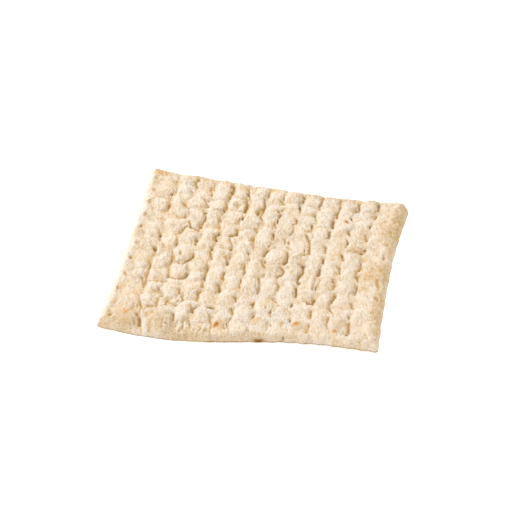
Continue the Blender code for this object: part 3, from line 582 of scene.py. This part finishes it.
def along_lines(column, row, lines, half_width):
    """A field that falls off from its strength on each line over the half width."""
    field = np.zeros_like(column)
    x = column * COLUMN_PITCH
    y = row * ROW_PITCH
    for strength, *points in lines:
        for (first_column, first_row), (last_column, last_row) in zip(points, points[1:]):
            start_x = first_column * COLUMN_PITCH
            start_y = first_row * ROW_PITCH
            along_x = last_column * COLUMN_PITCH - start_x
            along_y = last_row * ROW_PITCH - start_y
            share = (x - start_x) * along_x + (y - start_y) * along_y
            share = np.clip(share / (along_x**2 + along_y**2), 0.0, 1.0)
            away = np.hypot(x - start_x - share * along_x, y - start_y - share * along_y)
            field = np.maximum(field, strength * np.exp(-((away / half_width) ** 2)))
    return field


def crease_fields(column, row):
    """How far each point is in a crease, and in the wide dip that leans to one side of it."""
    creased = along_lines(column, row, CREASES, CREASE_HALF_WIDTH)
    dipped = along_lines(column + CREASE_DIP_LEAN, row, CREASES, CREASE_DIP_HALF_WIDTH)
    return creased, dipped


# ----------------------------------------
# The top surface: plain lips of dough run round the edge outside the outer holes. All over,
# the crust is finely uneven, and the front shoulder is drawn into short upright pleats.

FLOOR_THICKNESS = 0.0040
RIM_HEIGHT = 0.0010
RIM_UNDERCUT = 0.0009

# Shoulders: how far in from each edge the top reaches its full height. The front one
# eases from its left to its right value.
SIDE_SHOULDER = 0.0060
BACK_SHOULDER = 0.0040
FRONT_SHOULDER = (0.0092, 0.0062)
FRONT_SHOULDER_COLUMNS = (3.6, 5.4)
SHOULDER_POWER = 0.62

# Lips: rise over the groove floor, columns or rows over which each fades, and how fully
# the front and back ones hide the knobs
LEFT_LIP_RISE = 0.0027
LEFT_LIP_FADE = (-0.10, 0.45)
RIGHT_LIP_RISE = 0.0033
RIGHT_LIP_FADE = (COLUMNS - 1.45, COLUMNS - 1.10)
FRONT_LIP_RISE = 0.0030
FRONT_LIP_FADE = (ROWS - 0.55, ROWS - 0.15)
FRONT_LIP_SHARE = 0.5
BACK_LIP_RISE = 0.0033
BACK_LIP_FADE = (-0.50, -0.05)
BACK_LIP_SHARE = 0.7
LIP_WAVE = 0.020
LIP_SWELL = 0.12

# Ripples, each with its wave and its size: the buckling that pushes the knobs out of place,
# and the relief of the crust
BUCKLES = (("buckle", 0.013, 0.0006), ("fine buckle", 0.0045, 0.00035))
LUMPS = (("lumps", 0.006, 0.00016), ("fine lumps", 0.0028, 0.00014), ("crumb", 0.0016, 0.00008))

# Pleats of the front shoulder, which fade in over some rows and away from one column
PLEAT = 0.00042
PLEAT_WAVE = 0.0036
PLEAT_STRETCH = 0.15
PLEAT_ROWS = (9.9, 10.4)
PLEAT_COLUMN = 4.3
PLEAT_SPREAD = 1.3


def lipped(rise, column, row):
    """The rise drawn to a plain swelling lip along the edges, and where holes still show."""
    swell = ripple(column * COLUMN_PITCH, row * ROW_PITCH, LIP_WAVE, "lip")
    swell = 1.0 + LIP_SWELL * swell
    left = 1.0 - smoothstep(*LEFT_LIP_FADE, column)
    right = smoothstep(*RIGHT_LIP_FADE, column)
    front = smoothstep(*FRONT_LIP_FADE, row)
    back = 1.0 - smoothstep(*BACK_LIP_FADE, row)
    for lip_rise, share in (
        (LEFT_LIP_RISE, left),
        (RIGHT_LIP_RISE, right),
        (FRONT_LIP_RISE, front * FRONT_LIP_SHARE),
        (BACK_LIP_RISE, back * BACK_LIP_SHARE),
    ):
        rise = rise + (lip_rise * swell - rise) * share
    return rise, (1.0 - front) * (1.0 - BACK_LIP_SHARE * back)


def rippled(x, y, ripples, direction=""):
    """The sum of some ripples, in metres."""
    total = np.zeros_like(x)
    for name, wave, size in ripples:
        total += size * ripple(x, y, wave, name + direction)
    return total


def crust_relief(column, row):
    """The fine unevenness of the crust, in metres."""
    x = column * COLUMN_PITCH
    y = row * ROW_PITCH
    relief = rippled(x, y, LUMPS)
    pleats = ripple(x, y * PLEAT_STRETCH, PLEAT_WAVE, "pleats")
    pleated = smoothstep(*PLEAT_ROWS, row) * np.exp(-(((column - PLEAT_COLUMN) / PLEAT_SPREAD) ** 2))
    return relief + PLEAT * pleats * pleated


def top_height(column, row):
    """Thickness of the dough at arrays of column and row numbers."""
    x = column * COLUMN_PITCH
    y = row * ROW_PITCH
    bent_column = column + rippled(x, y, BUCKLES, " across") / COLUMN_PITCH
    bent_row = row + rippled(x, y, BUCKLES, " along") / ROW_PITCH
    knobs = make_knobs() + make_fillers()
    rise = merged_caps(bent_column, bent_row, knobs, between(KNOB_BASE, column))
    rise, inner = lipped(rise, column, row)
    rise = merged_caps(bent_column, bent_row, BLISTERS, rise)
    open_dough = (1.0 - blister_cover(bent_column, bent_row)) * inner
    slot, funnel = hole_fields(bent_column, bent_row)
    rise = rise * (1.0 - funnel * open_dough)
    cuts = (groove_cut(bent_column, bent_row) + slot) * open_dough
    cuts = np.maximum(cuts, spots(column, row, BREAKS))
    cuts = np.maximum(cuts, LEFT_HOLE_DEPTH * left_hole_field(column, row))
    creased, dipped = crease_fields(column, row)
    cuts = np.maximum(cuts, CREASE_DEPTH * creased + CREASE_DIP * dipped)
    rise = rise + WELT_RISE * along_lines(column, row, WELTS, WELT_HALF_WIDTH)
    height = FLOOR_THICKNESS + rise + crust_relief(column, row) - cuts
    return np.maximum(height, HOLE_FLOOR)


def shoulder(across, down):
    """0 at the rim and 1 past the rounded shoulder of the nearest edge."""
    column = (across - LEFT_MARGIN) / COLUMN_PITCH
    sides = (
        across / SIDE_SHOULDER,
        (SHEET_WIDTH - across) / SIDE_SHOULDER,
        down / BACK_SHOULDER,
        (SHEET_DEPTH - down) / between(FRONT_SHOULDER, column, FRONT_SHOULDER_COLUMNS),
    )
    share = np.clip(np.minimum.reduce(sides), 0.0, 1.0)
    return (1.0 - (1.0 - share) ** 2) ** SHOULDER_POWER


# ----------------------------------------
# The skin: one closed mesh, fine enough on top for the crumb of the crust, with a rounded
# edge and a coarser underside that lies on the solid's own underside.

# Steps of the grid before the first hole, from hole to hole and past the last one, all
# together a multiple of the underside's step each way. Those at the rim are shortened.
COLUMN_STEPS = (12, 20, 10)
ROW_STEPS = (17, 25, 27)
RIM_STEP = 0.45
UNDERSIDE_STEP = 3

# Degrees round the rim at which it has a ring of vertices
EDGE_ANGLES = (30, 60, 90)


def eased_margin(steps):
    """Shares from 0 at the rim to 1 at the outer holes, closer together near the rim."""
    share = np.arange(steps) / steps
    return share * (RIM_STEP + (1.0 - RIM_STEP) * share)


def grid_lines(place_of, count, pitch, length, steps):
    """Grid lines over a length, as distances from its first edge and as column or row numbers."""
    first_steps, inner_steps, last_steps = steps
    inner = np.arange((count - 1) * inner_steps + 1) / inner_steps
    inner_place = np.array([place_of(number) for number in inner])
    first = eased_margin(first_steps) * inner_place[0]
    last = (1.0 - eased_margin(last_steps)[::-1]) * (length - inner_place[-1])
    place = np.concatenate([first, inner_place, inner_place[-1] + last])
    number = np.concatenate([(first - inner_place[0]) / pitch, inner, count - 1 + last / pitch])
    return place, number


def border(grid):
    """The entries round the edge of a 2D array, in order, from its first corner."""
    return np.concatenate([grid[0], grid[1:, -1], grid[-1, -2::-1], grid[-2:0:-1, 0]])


def quads_of(grid):
    """Corner indices of the quads of a 2D array of vertex indices."""
    corners = (grid[:-1, :-1], grid[1:, :-1], grid[1:, 1:], grid[:-1, 1:])
    return np.stack(corners, axis=-1).reshape(-1, 4)


def inset_points(across, down, inset, height):
    """Points of a grid drawn in from the rim, at a height over the underside."""
    across = np.clip(across, inset, SHEET_WIDTH - inset)
    down = np.clip(down, inset, SHEET_DEPTH - inset)
    x, y = on_plan(across, down)
    return np.stack([x, y, curl(x, y) + height], axis=-1)


def fan_faces(rim, base):
    """Triangles between a ring of vertices and a coarser ring under it."""
    faces = []
    step = len(rim) // len(base)
    turn = (step + 1) // 2
    for k in range(len(base)):
        here = base[k]
        after = base[(k + 1) % len(base)]
        for j in range(step):
            first = rim[step * k + j]
            last = rim[(step * k + j + 1) % len(rim)]
            faces.append((first, here if j < turn else after, last))
        faces.append((rim[step * k + turn], here, after))
    return faces


column_places, column_numbers = grid_lines(
    column_place, COLUMNS, COLUMN_PITCH, SHEET_WIDTH, COLUMN_STEPS
)
row_places, row_numbers = grid_lines(row_place, ROWS, ROW_PITCH, SHEET_DEPTH, ROW_STEPS)
grid_across, grid_down = np.meshgrid(column_places, row_places)
grid_column, grid_row = np.meshgrid(column_numbers, row_numbers)
thickness = top_height(grid_column, grid_row)
top_x, top_y = on_plan(grid_across, grid_down)
top_z = curl(top_x, top_y) + RIM_HEIGHT
top_z = top_z + (thickness - RIM_HEIGHT) * shoulder(grid_across, grid_down)
top_points = np.stack([top_x, top_y, top_z], axis=-1)

points = [top_points.reshape(-1, 3)]
top_grid = np.arange(top_z.size).reshape(top_z.shape)
faces = quads_of(top_grid).tolist()
ring = border(top_grid)
vertex_count = top_z.size
rim_across = border(grid_across)
rim_down = border(grid_down)
for degrees in EDGE_ANGLES:
    angle = math.radians(degrees)
    inset = RIM_UNDERCUT * (1.0 - math.cos(angle))
    height = RIM_HEIGHT * (1.0 - math.sin(angle))
    points.append(inset_points(rim_across, rim_down, inset, height))
    lower = vertex_count + np.arange(len(ring))
    vertex_count += len(ring)
    sides = np.stack([ring, np.roll(ring, -1), np.roll(lower, -1), lower], axis=-1)
    faces += sides[:, ::-1].tolist()
    ring = lower
under_across = grid_across[::UNDERSIDE_STEP, ::UNDERSIDE_STEP]
under_down = grid_down[::UNDERSIDE_STEP, ::UNDERSIDE_STEP]
under_points = inset_points(under_across, under_down, RIM_UNDERCUT * 2, 0.0)
under_grid = vertex_count + np.arange(under_across.size).reshape(under_across.shape)
points.append(under_points.reshape(-1, 3))
faces += quads_of(under_grid)[:, ::-1].tolist()
faces += fan_faces(ring.tolist(), border(under_grid).tolist())

mesh = bpy.data.meshes.new("bread_skin")
mesh.from_pydata(np.concatenate(points).tolist(), [], faces)
mesh.shade_smooth()
bread = bpy.data.objects.new("bread_skin", mesh)
bpy.context.scene.collection.objects.link(bread)
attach(bread, "root")
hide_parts("flatbread")


# ----------------------------------------
# The crust: soft wheat dough baked pale, so that only its tips toasted, under a light
# dusting of flour that fills the hollows less than it coats the tops. The tan of the hollows
# is partly bare crust and partly painted shade.

# Bareness, from 0 for plain flour to 1 for plain crust: what each thing adds to it. The lee,
# crease and dip shares are painted shade, the hollow share partly, and the floured share
# holds a painted highlight along the left rim.
PLAIN_BARENESS = 0.25
FLOURED_AND_LIT_BARENESS = -0.30
HOLLOW_BARENESS_AND_SHADE = 0.34
LEE_TAN_SHADE = 0.30
CREASE_TAN_SHADE = 0.12
DIP_TAN_SHADE = 0.14
WELT_BARENESS = -0.35
LEFT_HOLE_BARENESS = 0.4

# Painted shade: how dark the deep hollows, creases and the left holes are made inside
DARK_SHADE_HOLLOWS = (0.75, 1.4)
HOLLOW_DARK_SHADE = 0.45
CREASE_DARK_SHADE = 0.50
LEFT_HOLE_DARK_SHADE = 0.28

# A hollow is lower than the crust round it. The lee of a knob faces the right and the front,
# away from the light, and its tan is painted shade.
HOLLOW_REACH_STEPS = 6
HOLLOW_DEPTH = 0.0009
HOLLOW_LIMITS = (-0.6, 1.4)
LEE_BLUR_STEPS = 2
LEE_SLOPE = 0.9
LEE_LIMITS = (-0.3, 1.0)
LEE_EDGE = 0.008
LEE_TURN = math.radians(30)

# Browned zones: column, row, half width in columns, half length in rows and strength.
# The four at column 13 and past it, along the right rim, are also painted shade where the
# rim slopes away from the light.
BROWNED_AND_SHADED = (
    (13.15, 2.0, 0.7, 2.4, 0.8), (13.05, 5.5, 0.8, 0.9, 0.75), (12.45, 5.9, 0.4, 0.5, 0.8),
    (12.35, 6.7, 0.25, 0.4, 0.6), (13.25, 8.2, 0.55, 2.6, 0.6), (13.2, 0.3, 0.5, 0.8, 0.55),
    (0.8, 10.3, 1.0, 1.0, 0.45), (2.4, 10.0, 0.85, 0.8, 0.6), (4.0, 10.7, 1.2, 0.6, 0.5),
    (7.2, 11.0, 3.6, 0.45, 0.4), (0.2, -0.1, 0.6, 0.35, 0.7), (0.0, 4.7, 0.4, 0.5, 0.5),
    (2.5, -0.2, 0.4, 0.3, 0.4), (11.7, 2.5, 0.35, 0.35, 0.5), (11.6, 9.6, 0.4, 0.4, 0.5),
    (9.5, 10.1, 0.35, 0.5, 0.4), (5.4, 9.9, 0.35, 0.4, 0.4), (7.4, 9.75, 0.4, 0.3, 0.4),
    (2.4, 8.7, 0.3, 0.3, 0.4), (0.6, 7.6, 0.5, 0.3, 0.35), (1.7, 7.3, 0.35, 0.3, 0.4),
    (2.8, 6.9, 0.3, 0.2, 0.5), (11.6, 4.05, 0.45, 0.24, 0.8), (8.7, 1.6, 0.3, 0.25, 0.3),
)

# Floured zones, given in the same way. The first, along the left rim, is a painted
# highlight where the rim faces the light; the others are patches of flour.
FLOURED_AND_LIT = (
    (-0.45, 4.0, 0.6, 6.5, 1.3), (9.8, 1.6, 2.4, 1.6, 0.4), (7.6, 9.4, 2.6, 1.2, 0.5),
    (3.2, 9.6, 1.2, 1.2, 0.45), (1.6, 0.9, 0.6, 0.7, 0.7), (3.4, 0.9, 0.5, 0.6, 0.8),
    (2.8, 1.6, 0.6, 0.6, 0.5), (5.6, 0.9, 0.5, 0.6, 0.6), (7.1, 7.6, 0.6, 1.5, 0.6),
    (8.4, 7.2, 0.6, 1.5, 0.5), (9.6, 9.2, 0.4, 0.8, 0.3),
)
ZONE_FADE = (0.3, 1.2)

# Painted shade inside cracks and burst bubbles: column, row, half width, half length, strength
CRACK_SHADES = (
    (7.62, 10.87, 0.003, 0.0006, 1.5), (8.85, 10.84, 0.001, 0.001, 0.8),
    (4.85, 8.9, 0.003, 0.0009, 0.9), (4.97, 0.45, 0.001, 0.0012, 0.9),
    (10.72, 1.92, 0.001, 0.001, 0.5), (11.02, 2.72, 0.001, 0.0012, 0.8),
    (11.92, 4.22, 0.001, 0.0012, 0.8), (2.36, 5.5, 0.0007, 0.0024, 0.6),
    (1.52, 10.4, 0.0008, 0.0018, 0.6), (1.25, 9.82, 0.0008, 0.001, 0.6),
    (2.82, 10.3, 0.0008, 0.0006, 0.5),
)

# Creases that end at a hole, with painted shade in it: column and row of the end, and what all ends
# share
SHADED_CREASE_ENDS = (
    (2.13, 0.62), (3.05, 1.02), (4.05, 0.65), (4.92, 2.05), (3.02, 1.9), (5.05, 3.75),
    (2.0, 4.25), (2.98, 4.75), (4.12, 4.35), (6.07, 3.4), (4.93, 4.9), (10.0, 5.85),
    (9.05, 6.75), (12.05, 6.95), (7.0, 7.7), (5.0, 6.8), (5.03, 5.8),
)
CREASE_END_SHADE = (0.0008, 0.0010, 0.90)

# Scorched spots: column, row, half size across and strength. They are longer down the rows.
SCORCHES = (
    (-0.02, -0.12, 0.003, 0.45), (0.35, -0.25, 0.0026, 0.25), (3.65, -0.16, 0.0028, 0.5),
    (4.67, -0.1, 0.0026, 0.4), (5.35, 10.1, 0.0026, 1.2), (9.38, 9.86, 0.0026, 0.8),
    (11.36, 10.1, 0.0017, 0.95), (8.55, 9.9, 0.0022, 0.55), (7.2, 9.8, 0.003, 0.35),
    (0.74, 9.86, 0.0022, 0.75), (12.24, 4.68, 0.0014, 0.5), (11.65, -0.14, 0.0022, 0.4),
    (10.7, -0.15, 0.0034, 0.2), (8.5, -0.15, 0.0034, 0.2), (10.7, 1.93, 0.0014, 1.15),
    (12.35, 5.85, 0.003, 0.25),
)
SCORCH_STRETCH = 1.5


def blurred(field, steps):
    """A 2D field smoothed over a number of grid steps."""
    for axis in (0, 1):
        padded = np.pad(field, [(steps, steps) if axis == k else (0, 0) for k in (0, 1)], "edge")
        total = np.zeros_like(field)
        for shift in range(2 * steps + 1):
            window = [slice(None), slice(None)]
            window[axis] = slice(shift, shift + field.shape[axis])
            weight = 1.0 - abs(shift - steps) / (steps + 1)
            total += weight * padded[tuple(window)]
        field = total / (steps + 1)
    return field


hollow = (blurred(thickness, HOLLOW_REACH_STEPS) - thickness) / HOLLOW_DEPTH
hollow = np.clip(hollow, *HOLLOW_LIMITS)
smooth_top = blurred(top_z, LEE_BLUR_STEPS)
slope_across = np.gradient(smooth_top, axis=1) / np.gradient(top_x, axis=1)
slope_along = np.gradient(smooth_top, axis=0) / np.gradient(top_y, axis=0)
# Painted shade: the lee sides of the knobs, facing away from the light, are made barer and tan
lee_shade = slope_along * math.sin(LEE_TURN) - slope_across * math.cos(LEE_TURN)
lee_shade = np.clip(lee_shade / LEE_SLOPE, *LEE_LIMITS)
lee_shade = lee_shade * smoothstep(0.0, LEE_EDGE, edge_distance(grid_across, grid_down))
creased, dipped = crease_fields(grid_column, grid_row)
welted = along_lines(grid_column, grid_row, WELTS, WELT_HALF_WIDTH)
left_holes = left_hole_field(grid_column, grid_row)

# Toasted zones, and painted shade along the right rim
browned_and_shaded = covered(grid_column, grid_row, BROWNED_AND_SHADED, ZONE_FADE)
# The floured zones lighten the crust; the one along the left rim is a painted highlight
floured_and_lit = covered(grid_column, grid_row, FLOURED_AND_LIT, ZONE_FADE)
# The hollow share is partly bare crust where less flour lay and partly painted shade
bare = PLAIN_BARENESS + FLOURED_AND_LIT_BARENESS * floured_and_lit + HOLLOW_BARENESS_AND_SHADE * hollow
# Painted shade: the creases and the wide dips beside them are made barer and tan
bare = bare + LEE_TAN_SHADE * lee_shade + CREASE_TAN_SHADE * creased + DIP_TAN_SHADE * dipped
bare = bare + WELT_BARENESS * welted + LEFT_HOLE_BARENESS * left_holes
# Painted shade, dark brown, in deep hollows, creases, cracks, the ends of creases and the left holes
dark_shade = np.maximum(HOLLOW_DARK_SHADE * smoothstep(*DARK_SHADE_HOLLOWS, hollow), CREASE_DARK_SHADE * creased**2)
shaded_places = CRACK_SHADES + tuple((*end, *CREASE_END_SHADE) for end in SHADED_CREASE_ENDS)
dark_shade = np.maximum(dark_shade, spots(grid_column, grid_row, shaded_places))
dark_shade = np.maximum(dark_shade, LEFT_HOLE_DARK_SHADE * left_holes)
scorched = [
    (column, row, half_size, half_size * SCORCH_STRETCH, strength)
    for column, row, half_size, strength in SCORCHES
]
scorch = spots(grid_column, grid_row, scorched)

# Each field is kept at the vertices of the top, and the rest of the skin has one value
for name, top_values, rest_value in (
    ("browned_and_shaded", browned_and_shaded, 0.0),
    ("dark_shade", dark_shade, 0.0),
    ("bare", bare, PLAIN_BARENESS),
    ("scorch", scorch, 0.0),
):
    attribute = mesh.attributes.new(name, "FLOAT", "POINT")
    values = np.full(len(mesh.vertices), rest_value, dtype=np.float32)
    values[: top_values.size] = top_values.ravel()
    attribute.data.foreach_set("value", values)


def colour(code):
    """Linear RGBA of an sRGB hex code."""
    shares = [int(code[k : k + 2], 16) / 255 for k in (0, 2, 4)]
    linear = [v / 12.92 if v <= 0.04045 else ((v + 0.055) / 1.055) ** 2.4 for v in shares]
    return (*linear, 1.0)


def add_node(tree, kind, inputs=None, **settings):
    """A new node with its inputs, as values or as sockets to link, and its settings."""
    node = tree.nodes.new(kind)
    for name, value in settings.items():
        setattr(node, name, value)
    for name, value in (inputs or {}).items():
        if isinstance(value, bpy.types.NodeSocket):
            tree.links.new(value, node.inputs[name])
        else:
            node.inputs[name].default_value = value
    return node


# Floured wheat crust: baked dough, dry and matt, which lets a little light through. The eye
# sees cream flour on the tips, tan crust in the hollows, partly painted shade, and brown where
# a blister toasted; painted shade also tans the lee sides and darkens pits, creases and cracks.
crust = bpy.data.materials.new("floured_wheat_crust")
crust.use_nodes = True
tree = crust.node_tree
shader = tree.nodes["Principled BSDF"]
place = add_node(tree, "ShaderNodeTexCoord").outputs["Object"]
painted = {}
for name in ("browned_and_shaded", "dark_shade", "bare", "scorch"):
    painted[name] = add_node(tree, "ShaderNodeAttribute", attribute_name=name).outputs["Fac"]

# The crust wrinkles in patches, and all over where it browned and dried
inputs = {"Value": painted["browned_and_shaded"], "From Max": 0.8, "To Min": 0.25}
least_wrinkled = add_node(tree, "ShaderNodeMapRange", inputs).outputs[0]

# Random patterns: size of the marks in millimetres, detail and roughness of the noise, the
# range of it that is used, and the values at the range's ends. Blotches are as wide as a
# dusting of flour on one knob, the mottle is clumped flour, and the toasting is in blisters
# of 2 to 3 mm. Grains of flour and specks of bran are really 0.2 to 0.5 mm, too fine to show
# in the render, and are drawn as coarse as it needs.
PATTERNS = (
    ("blotches", 9.0, 4.0, 0.60, 0.30, 0.70, -0.22, 0.22),
    ("mottle", 1.8, 3.0, 0.65, 0.25, 0.75, -0.20, 0.20),
    ("grains", 1.1, 2.0, 0.60, 0.30, 0.70, -0.15, 0.15),
    ("toasting", 2.6, 3.0, 0.60, 0.30, 0.70, 0.20, 1.15),
    ("wrinkling", 11.0, 1.0, 0.50, 0.35, 0.65, least_wrinkled, 1.0),
    ("specks", 1.3, 1.0, 0.50, 0.53, 0.66, 0.0, 1.0),
)
patterns = {}
for name, millimetres, detail, roughness, low, high, at_low, at_high in PATTERNS:
    inputs = {"Vector": place, "Scale": 1000 / millimetres, "Detail": detail, "Roughness": roughness}
    noise = add_node(tree, "ShaderNodeTexNoise", inputs).outputs["Fac"]
    inputs = {"Value": noise, "From Min": low, "From Max": high, "To Min": at_low, "To Max": at_high}
    patterns[name] = add_node(tree, "ShaderNodeMapRange", inputs).outputs[0]

# The random patterns add to the painted bareness, and barer crust shows more specks
bareness = painted["bare"]
for name in ("blotches", "mottle", "grains"):
    inputs = {0: bareness, 1: patterns[name]}
    bareness = add_node(tree, "ShaderNodeMath", inputs, operation="ADD").outputs[0]
inputs = {"Value": bareness, "From Max": 0.6, "To Min": 0.10, "To Max": 0.46}
speckiness = add_node(tree, "ShaderNodeMapRange", inputs).outputs[0]
inputs = {0: patterns["specks"], 1: speckiness}
specks = add_node(tree, "ShaderNodeMath", inputs, operation="MULTIPLY").outputs[0]
inputs = {0: painted["browned_and_shaded"], 1: patterns["toasting"]}
browning_and_shade = add_node(tree, "ShaderNodeMath", inputs, operation="MULTIPLY").outputs[0]

# Colours over the flour, each with what lays it on and the range that takes it from none to
# all: plain crust, which also carries painted shade on lee sides, creases and hollows;
# browned crust, with painted shade along the right rim; painted dark shade in pits, creases
# and cracks; specks, toasted spots and charred spots. Inputs 6 and 7 of a mix are its two colours.
LAYERS = (
    (bareness, 0.0, 1.0, "C69D58"),
    (browning_and_shade, 0.0, 1.0, "BA944F"),
    (painted["dark_shade"], 0.0, 1.0, "7E5A26"),
    (specks, 0.0, 1.0, "987A4E"),
    (painted["scorch"], 0.05, 0.60, "CCA06A"),
    (painted["scorch"], 0.5, 1.1, "A86C3A"),
)
surface = colour("D6C9B8")
for value, low, high, code in LAYERS:
    inputs = {"Value": value, "From Min": low, "From Max": high}
    share = add_node(tree, "ShaderNodeMapRange", inputs).outputs[0]
    inputs = {0: share, 6: surface, 7: colour(code)}
    surface = add_node(tree, "ShaderNodeMix", inputs, data_type="RGBA").outputs[2]
tree.links.new(surface, shader.inputs["Base Color"])
for name, value in (
    ("Roughness", 0.88),
    ("Specular IOR Level", 0.3),
    ("Subsurface Weight", 0.06),
    ("Subsurface Radius", (1.0, 0.6, 0.3)),
    ("Subsurface Scale", 0.0015),
):
    shader.inputs[name].default_value = value

# Wrinkles of the dried skin: about 2 mm apart and twice as long. The pores of the crumb are
# really under 1 mm, and are drawn twice as coarse so that they show. Sizes in millimetres.
WRINKLE_SIZE = (2.2, 4.4, 4.4)
PORE_SIZE = 1.6
inputs = {0: place, 1: tuple(1000 / millimetres for millimetres in WRINKLE_SIZE)}
stretched = add_node(tree, "ShaderNodeVectorMath", inputs, operation="MULTIPLY").outputs[0]
inputs = {"Vector": stretched, "Scale": 1.0, "Detail": 2.5, "Roughness": 0.55, "Distortion": 1.8}
wrinkles = add_node(tree, "ShaderNodeTexNoise", inputs).outputs["Fac"]
inputs = {"Height": wrinkles, "Distance": 0.0014, "Strength": patterns["wrinkling"]}
normal = add_node(tree, "ShaderNodeBump", inputs).outputs["Normal"]
inputs = {"Vector": place, "Scale": 1000 / PORE_SIZE, "Detail": 3.0, "Roughness": 0.65}
pores = add_node(tree, "ShaderNodeTexNoise", inputs).outputs["Fac"]
inputs = {"Height": pores, "Distance": 0.0012, "Strength": 0.9, "Normal": normal}
normal = add_node(tree, "ShaderNodeBump", inputs).outputs["Normal"]
tree.links.new(normal, shader.inputs["Normal"])
mesh.materials.append(crust)


# ----------------------------------------
# The studio: a pale matt table, a large soft light low at the left behind the bread, and
# an even white surround.

TABLE_HALF_SIZE = 2.0
LIGHT_PLACE = Vector((-1.20, 0.55, 0.95))
LIGHT_SIZE = 1.0
LIGHT_POWER = 23.0
SURROUND_STRENGTH = 1.15

# White laminate: a smooth plastic sheet with a matt finish. It is slightly lit from inside,
# so that it melts into the white surround, as the floor of a photo studio does.
table_mesh = bpy.data.meshes.new("table")
table_corners = [(-1, -1), (1, -1), (1, 1), (-1, 1)]
table_points = [(x * TABLE_HALF_SIZE, y * TABLE_HALF_SIZE, 0.0) for x, y in table_corners]
table_mesh.from_pydata(table_points, [], [(0, 1, 2, 3)])
table = bpy.data.objects.new("table", table_mesh)
bpy.context.scene.collection.objects.link(table)
laminate = bpy.data.materials.new("white_laminate")
laminate.use_nodes = True
laminate_shader = laminate.node_tree.nodes["Principled BSDF"]
laminate_shader.inputs["Base Color"].default_value = colour("FAFAFA")
laminate_shader.inputs["Roughness"].default_value = 0.9
laminate_shader.inputs["Emission Color"].default_value = colour("FFFFFF")
laminate_shader.inputs["Emission Strength"].default_value = 0.50
table_mesh.materials.append(laminate)

world = bpy.data.worlds.new("studio")
bpy.context.scene.world = world
world.use_nodes = True
background = world.node_tree.nodes["Background"]
background.inputs["Color"].default_value = colour("FFFFFF")
background.inputs["Strength"].default_value = SURROUND_STRENGTH

light = bpy.data.lights.new("window_light", "AREA")
light.size = LIGHT_SIZE
light.energy = LIGHT_POWER
lamp = bpy.data.objects.new("window_light", light)
lamp.location = LIGHT_PLACE
lamp.rotation_euler = (-LIGHT_PLACE).to_track_quat("-Z", "Y").to_euler()
bpy.context.scene.collection.objects.link(lamp)

# The camera looks down at the front edge with a long lens, a little from the right. Its
# angles, scale and offsets were fitted to the corners of the sheet and the rows of holes.
VIEW_TURN = math.radians(10.29)
VIEW_HEIGHT = math.radians(37.10)
VIEW_ROLL = math.radians(0.31)
VIEW_ANGLE = math.radians(16)
PHOTO_SIZE = 530
PIXELS_PER_METRE = 1371.7
PHOTO_OFFSET = (-7.22, -0.63)
FRAME_SHIFT = (0.0006, 0.0014, 0.0)
SENSOR_WIDTH = 36.0

distance = PHOTO_SIZE / 2 / math.tan(VIEW_ANGLE / 2) / PIXELS_PER_METRE
aside = -PHOTO_OFFSET[0] / PIXELS_PER_METRE
above = PHOTO_OFFSET[1] / PIXELS_PER_METRE
camera_data = bpy.data.cameras.new("camera")
camera_data.sensor_width = SENSOR_WIDTH
camera_data.lens = SENSOR_WIDTH / 2 / math.tan(VIEW_ANGLE / 2)
camera = bpy.data.objects.new("camera", camera_data)
bpy.context.scene.collection.objects.link(camera)
camera.matrix_world = (
    Matrix.Translation(FRAME_SHIFT)
    @ Matrix.Rotation(VIEW_TURN, 4, "Z")
    @ Matrix.Rotation(math.pi / 2 - VIEW_HEIGHT, 4, "X")
    @ Matrix.Translation((aside, above, distance))
    @ Matrix.Rotation(VIEW_ROLL, 4, "Z")
)
bpy.context.scene.camera = camera
bpy.context.scene.view_settings.view_transform = "Standard"
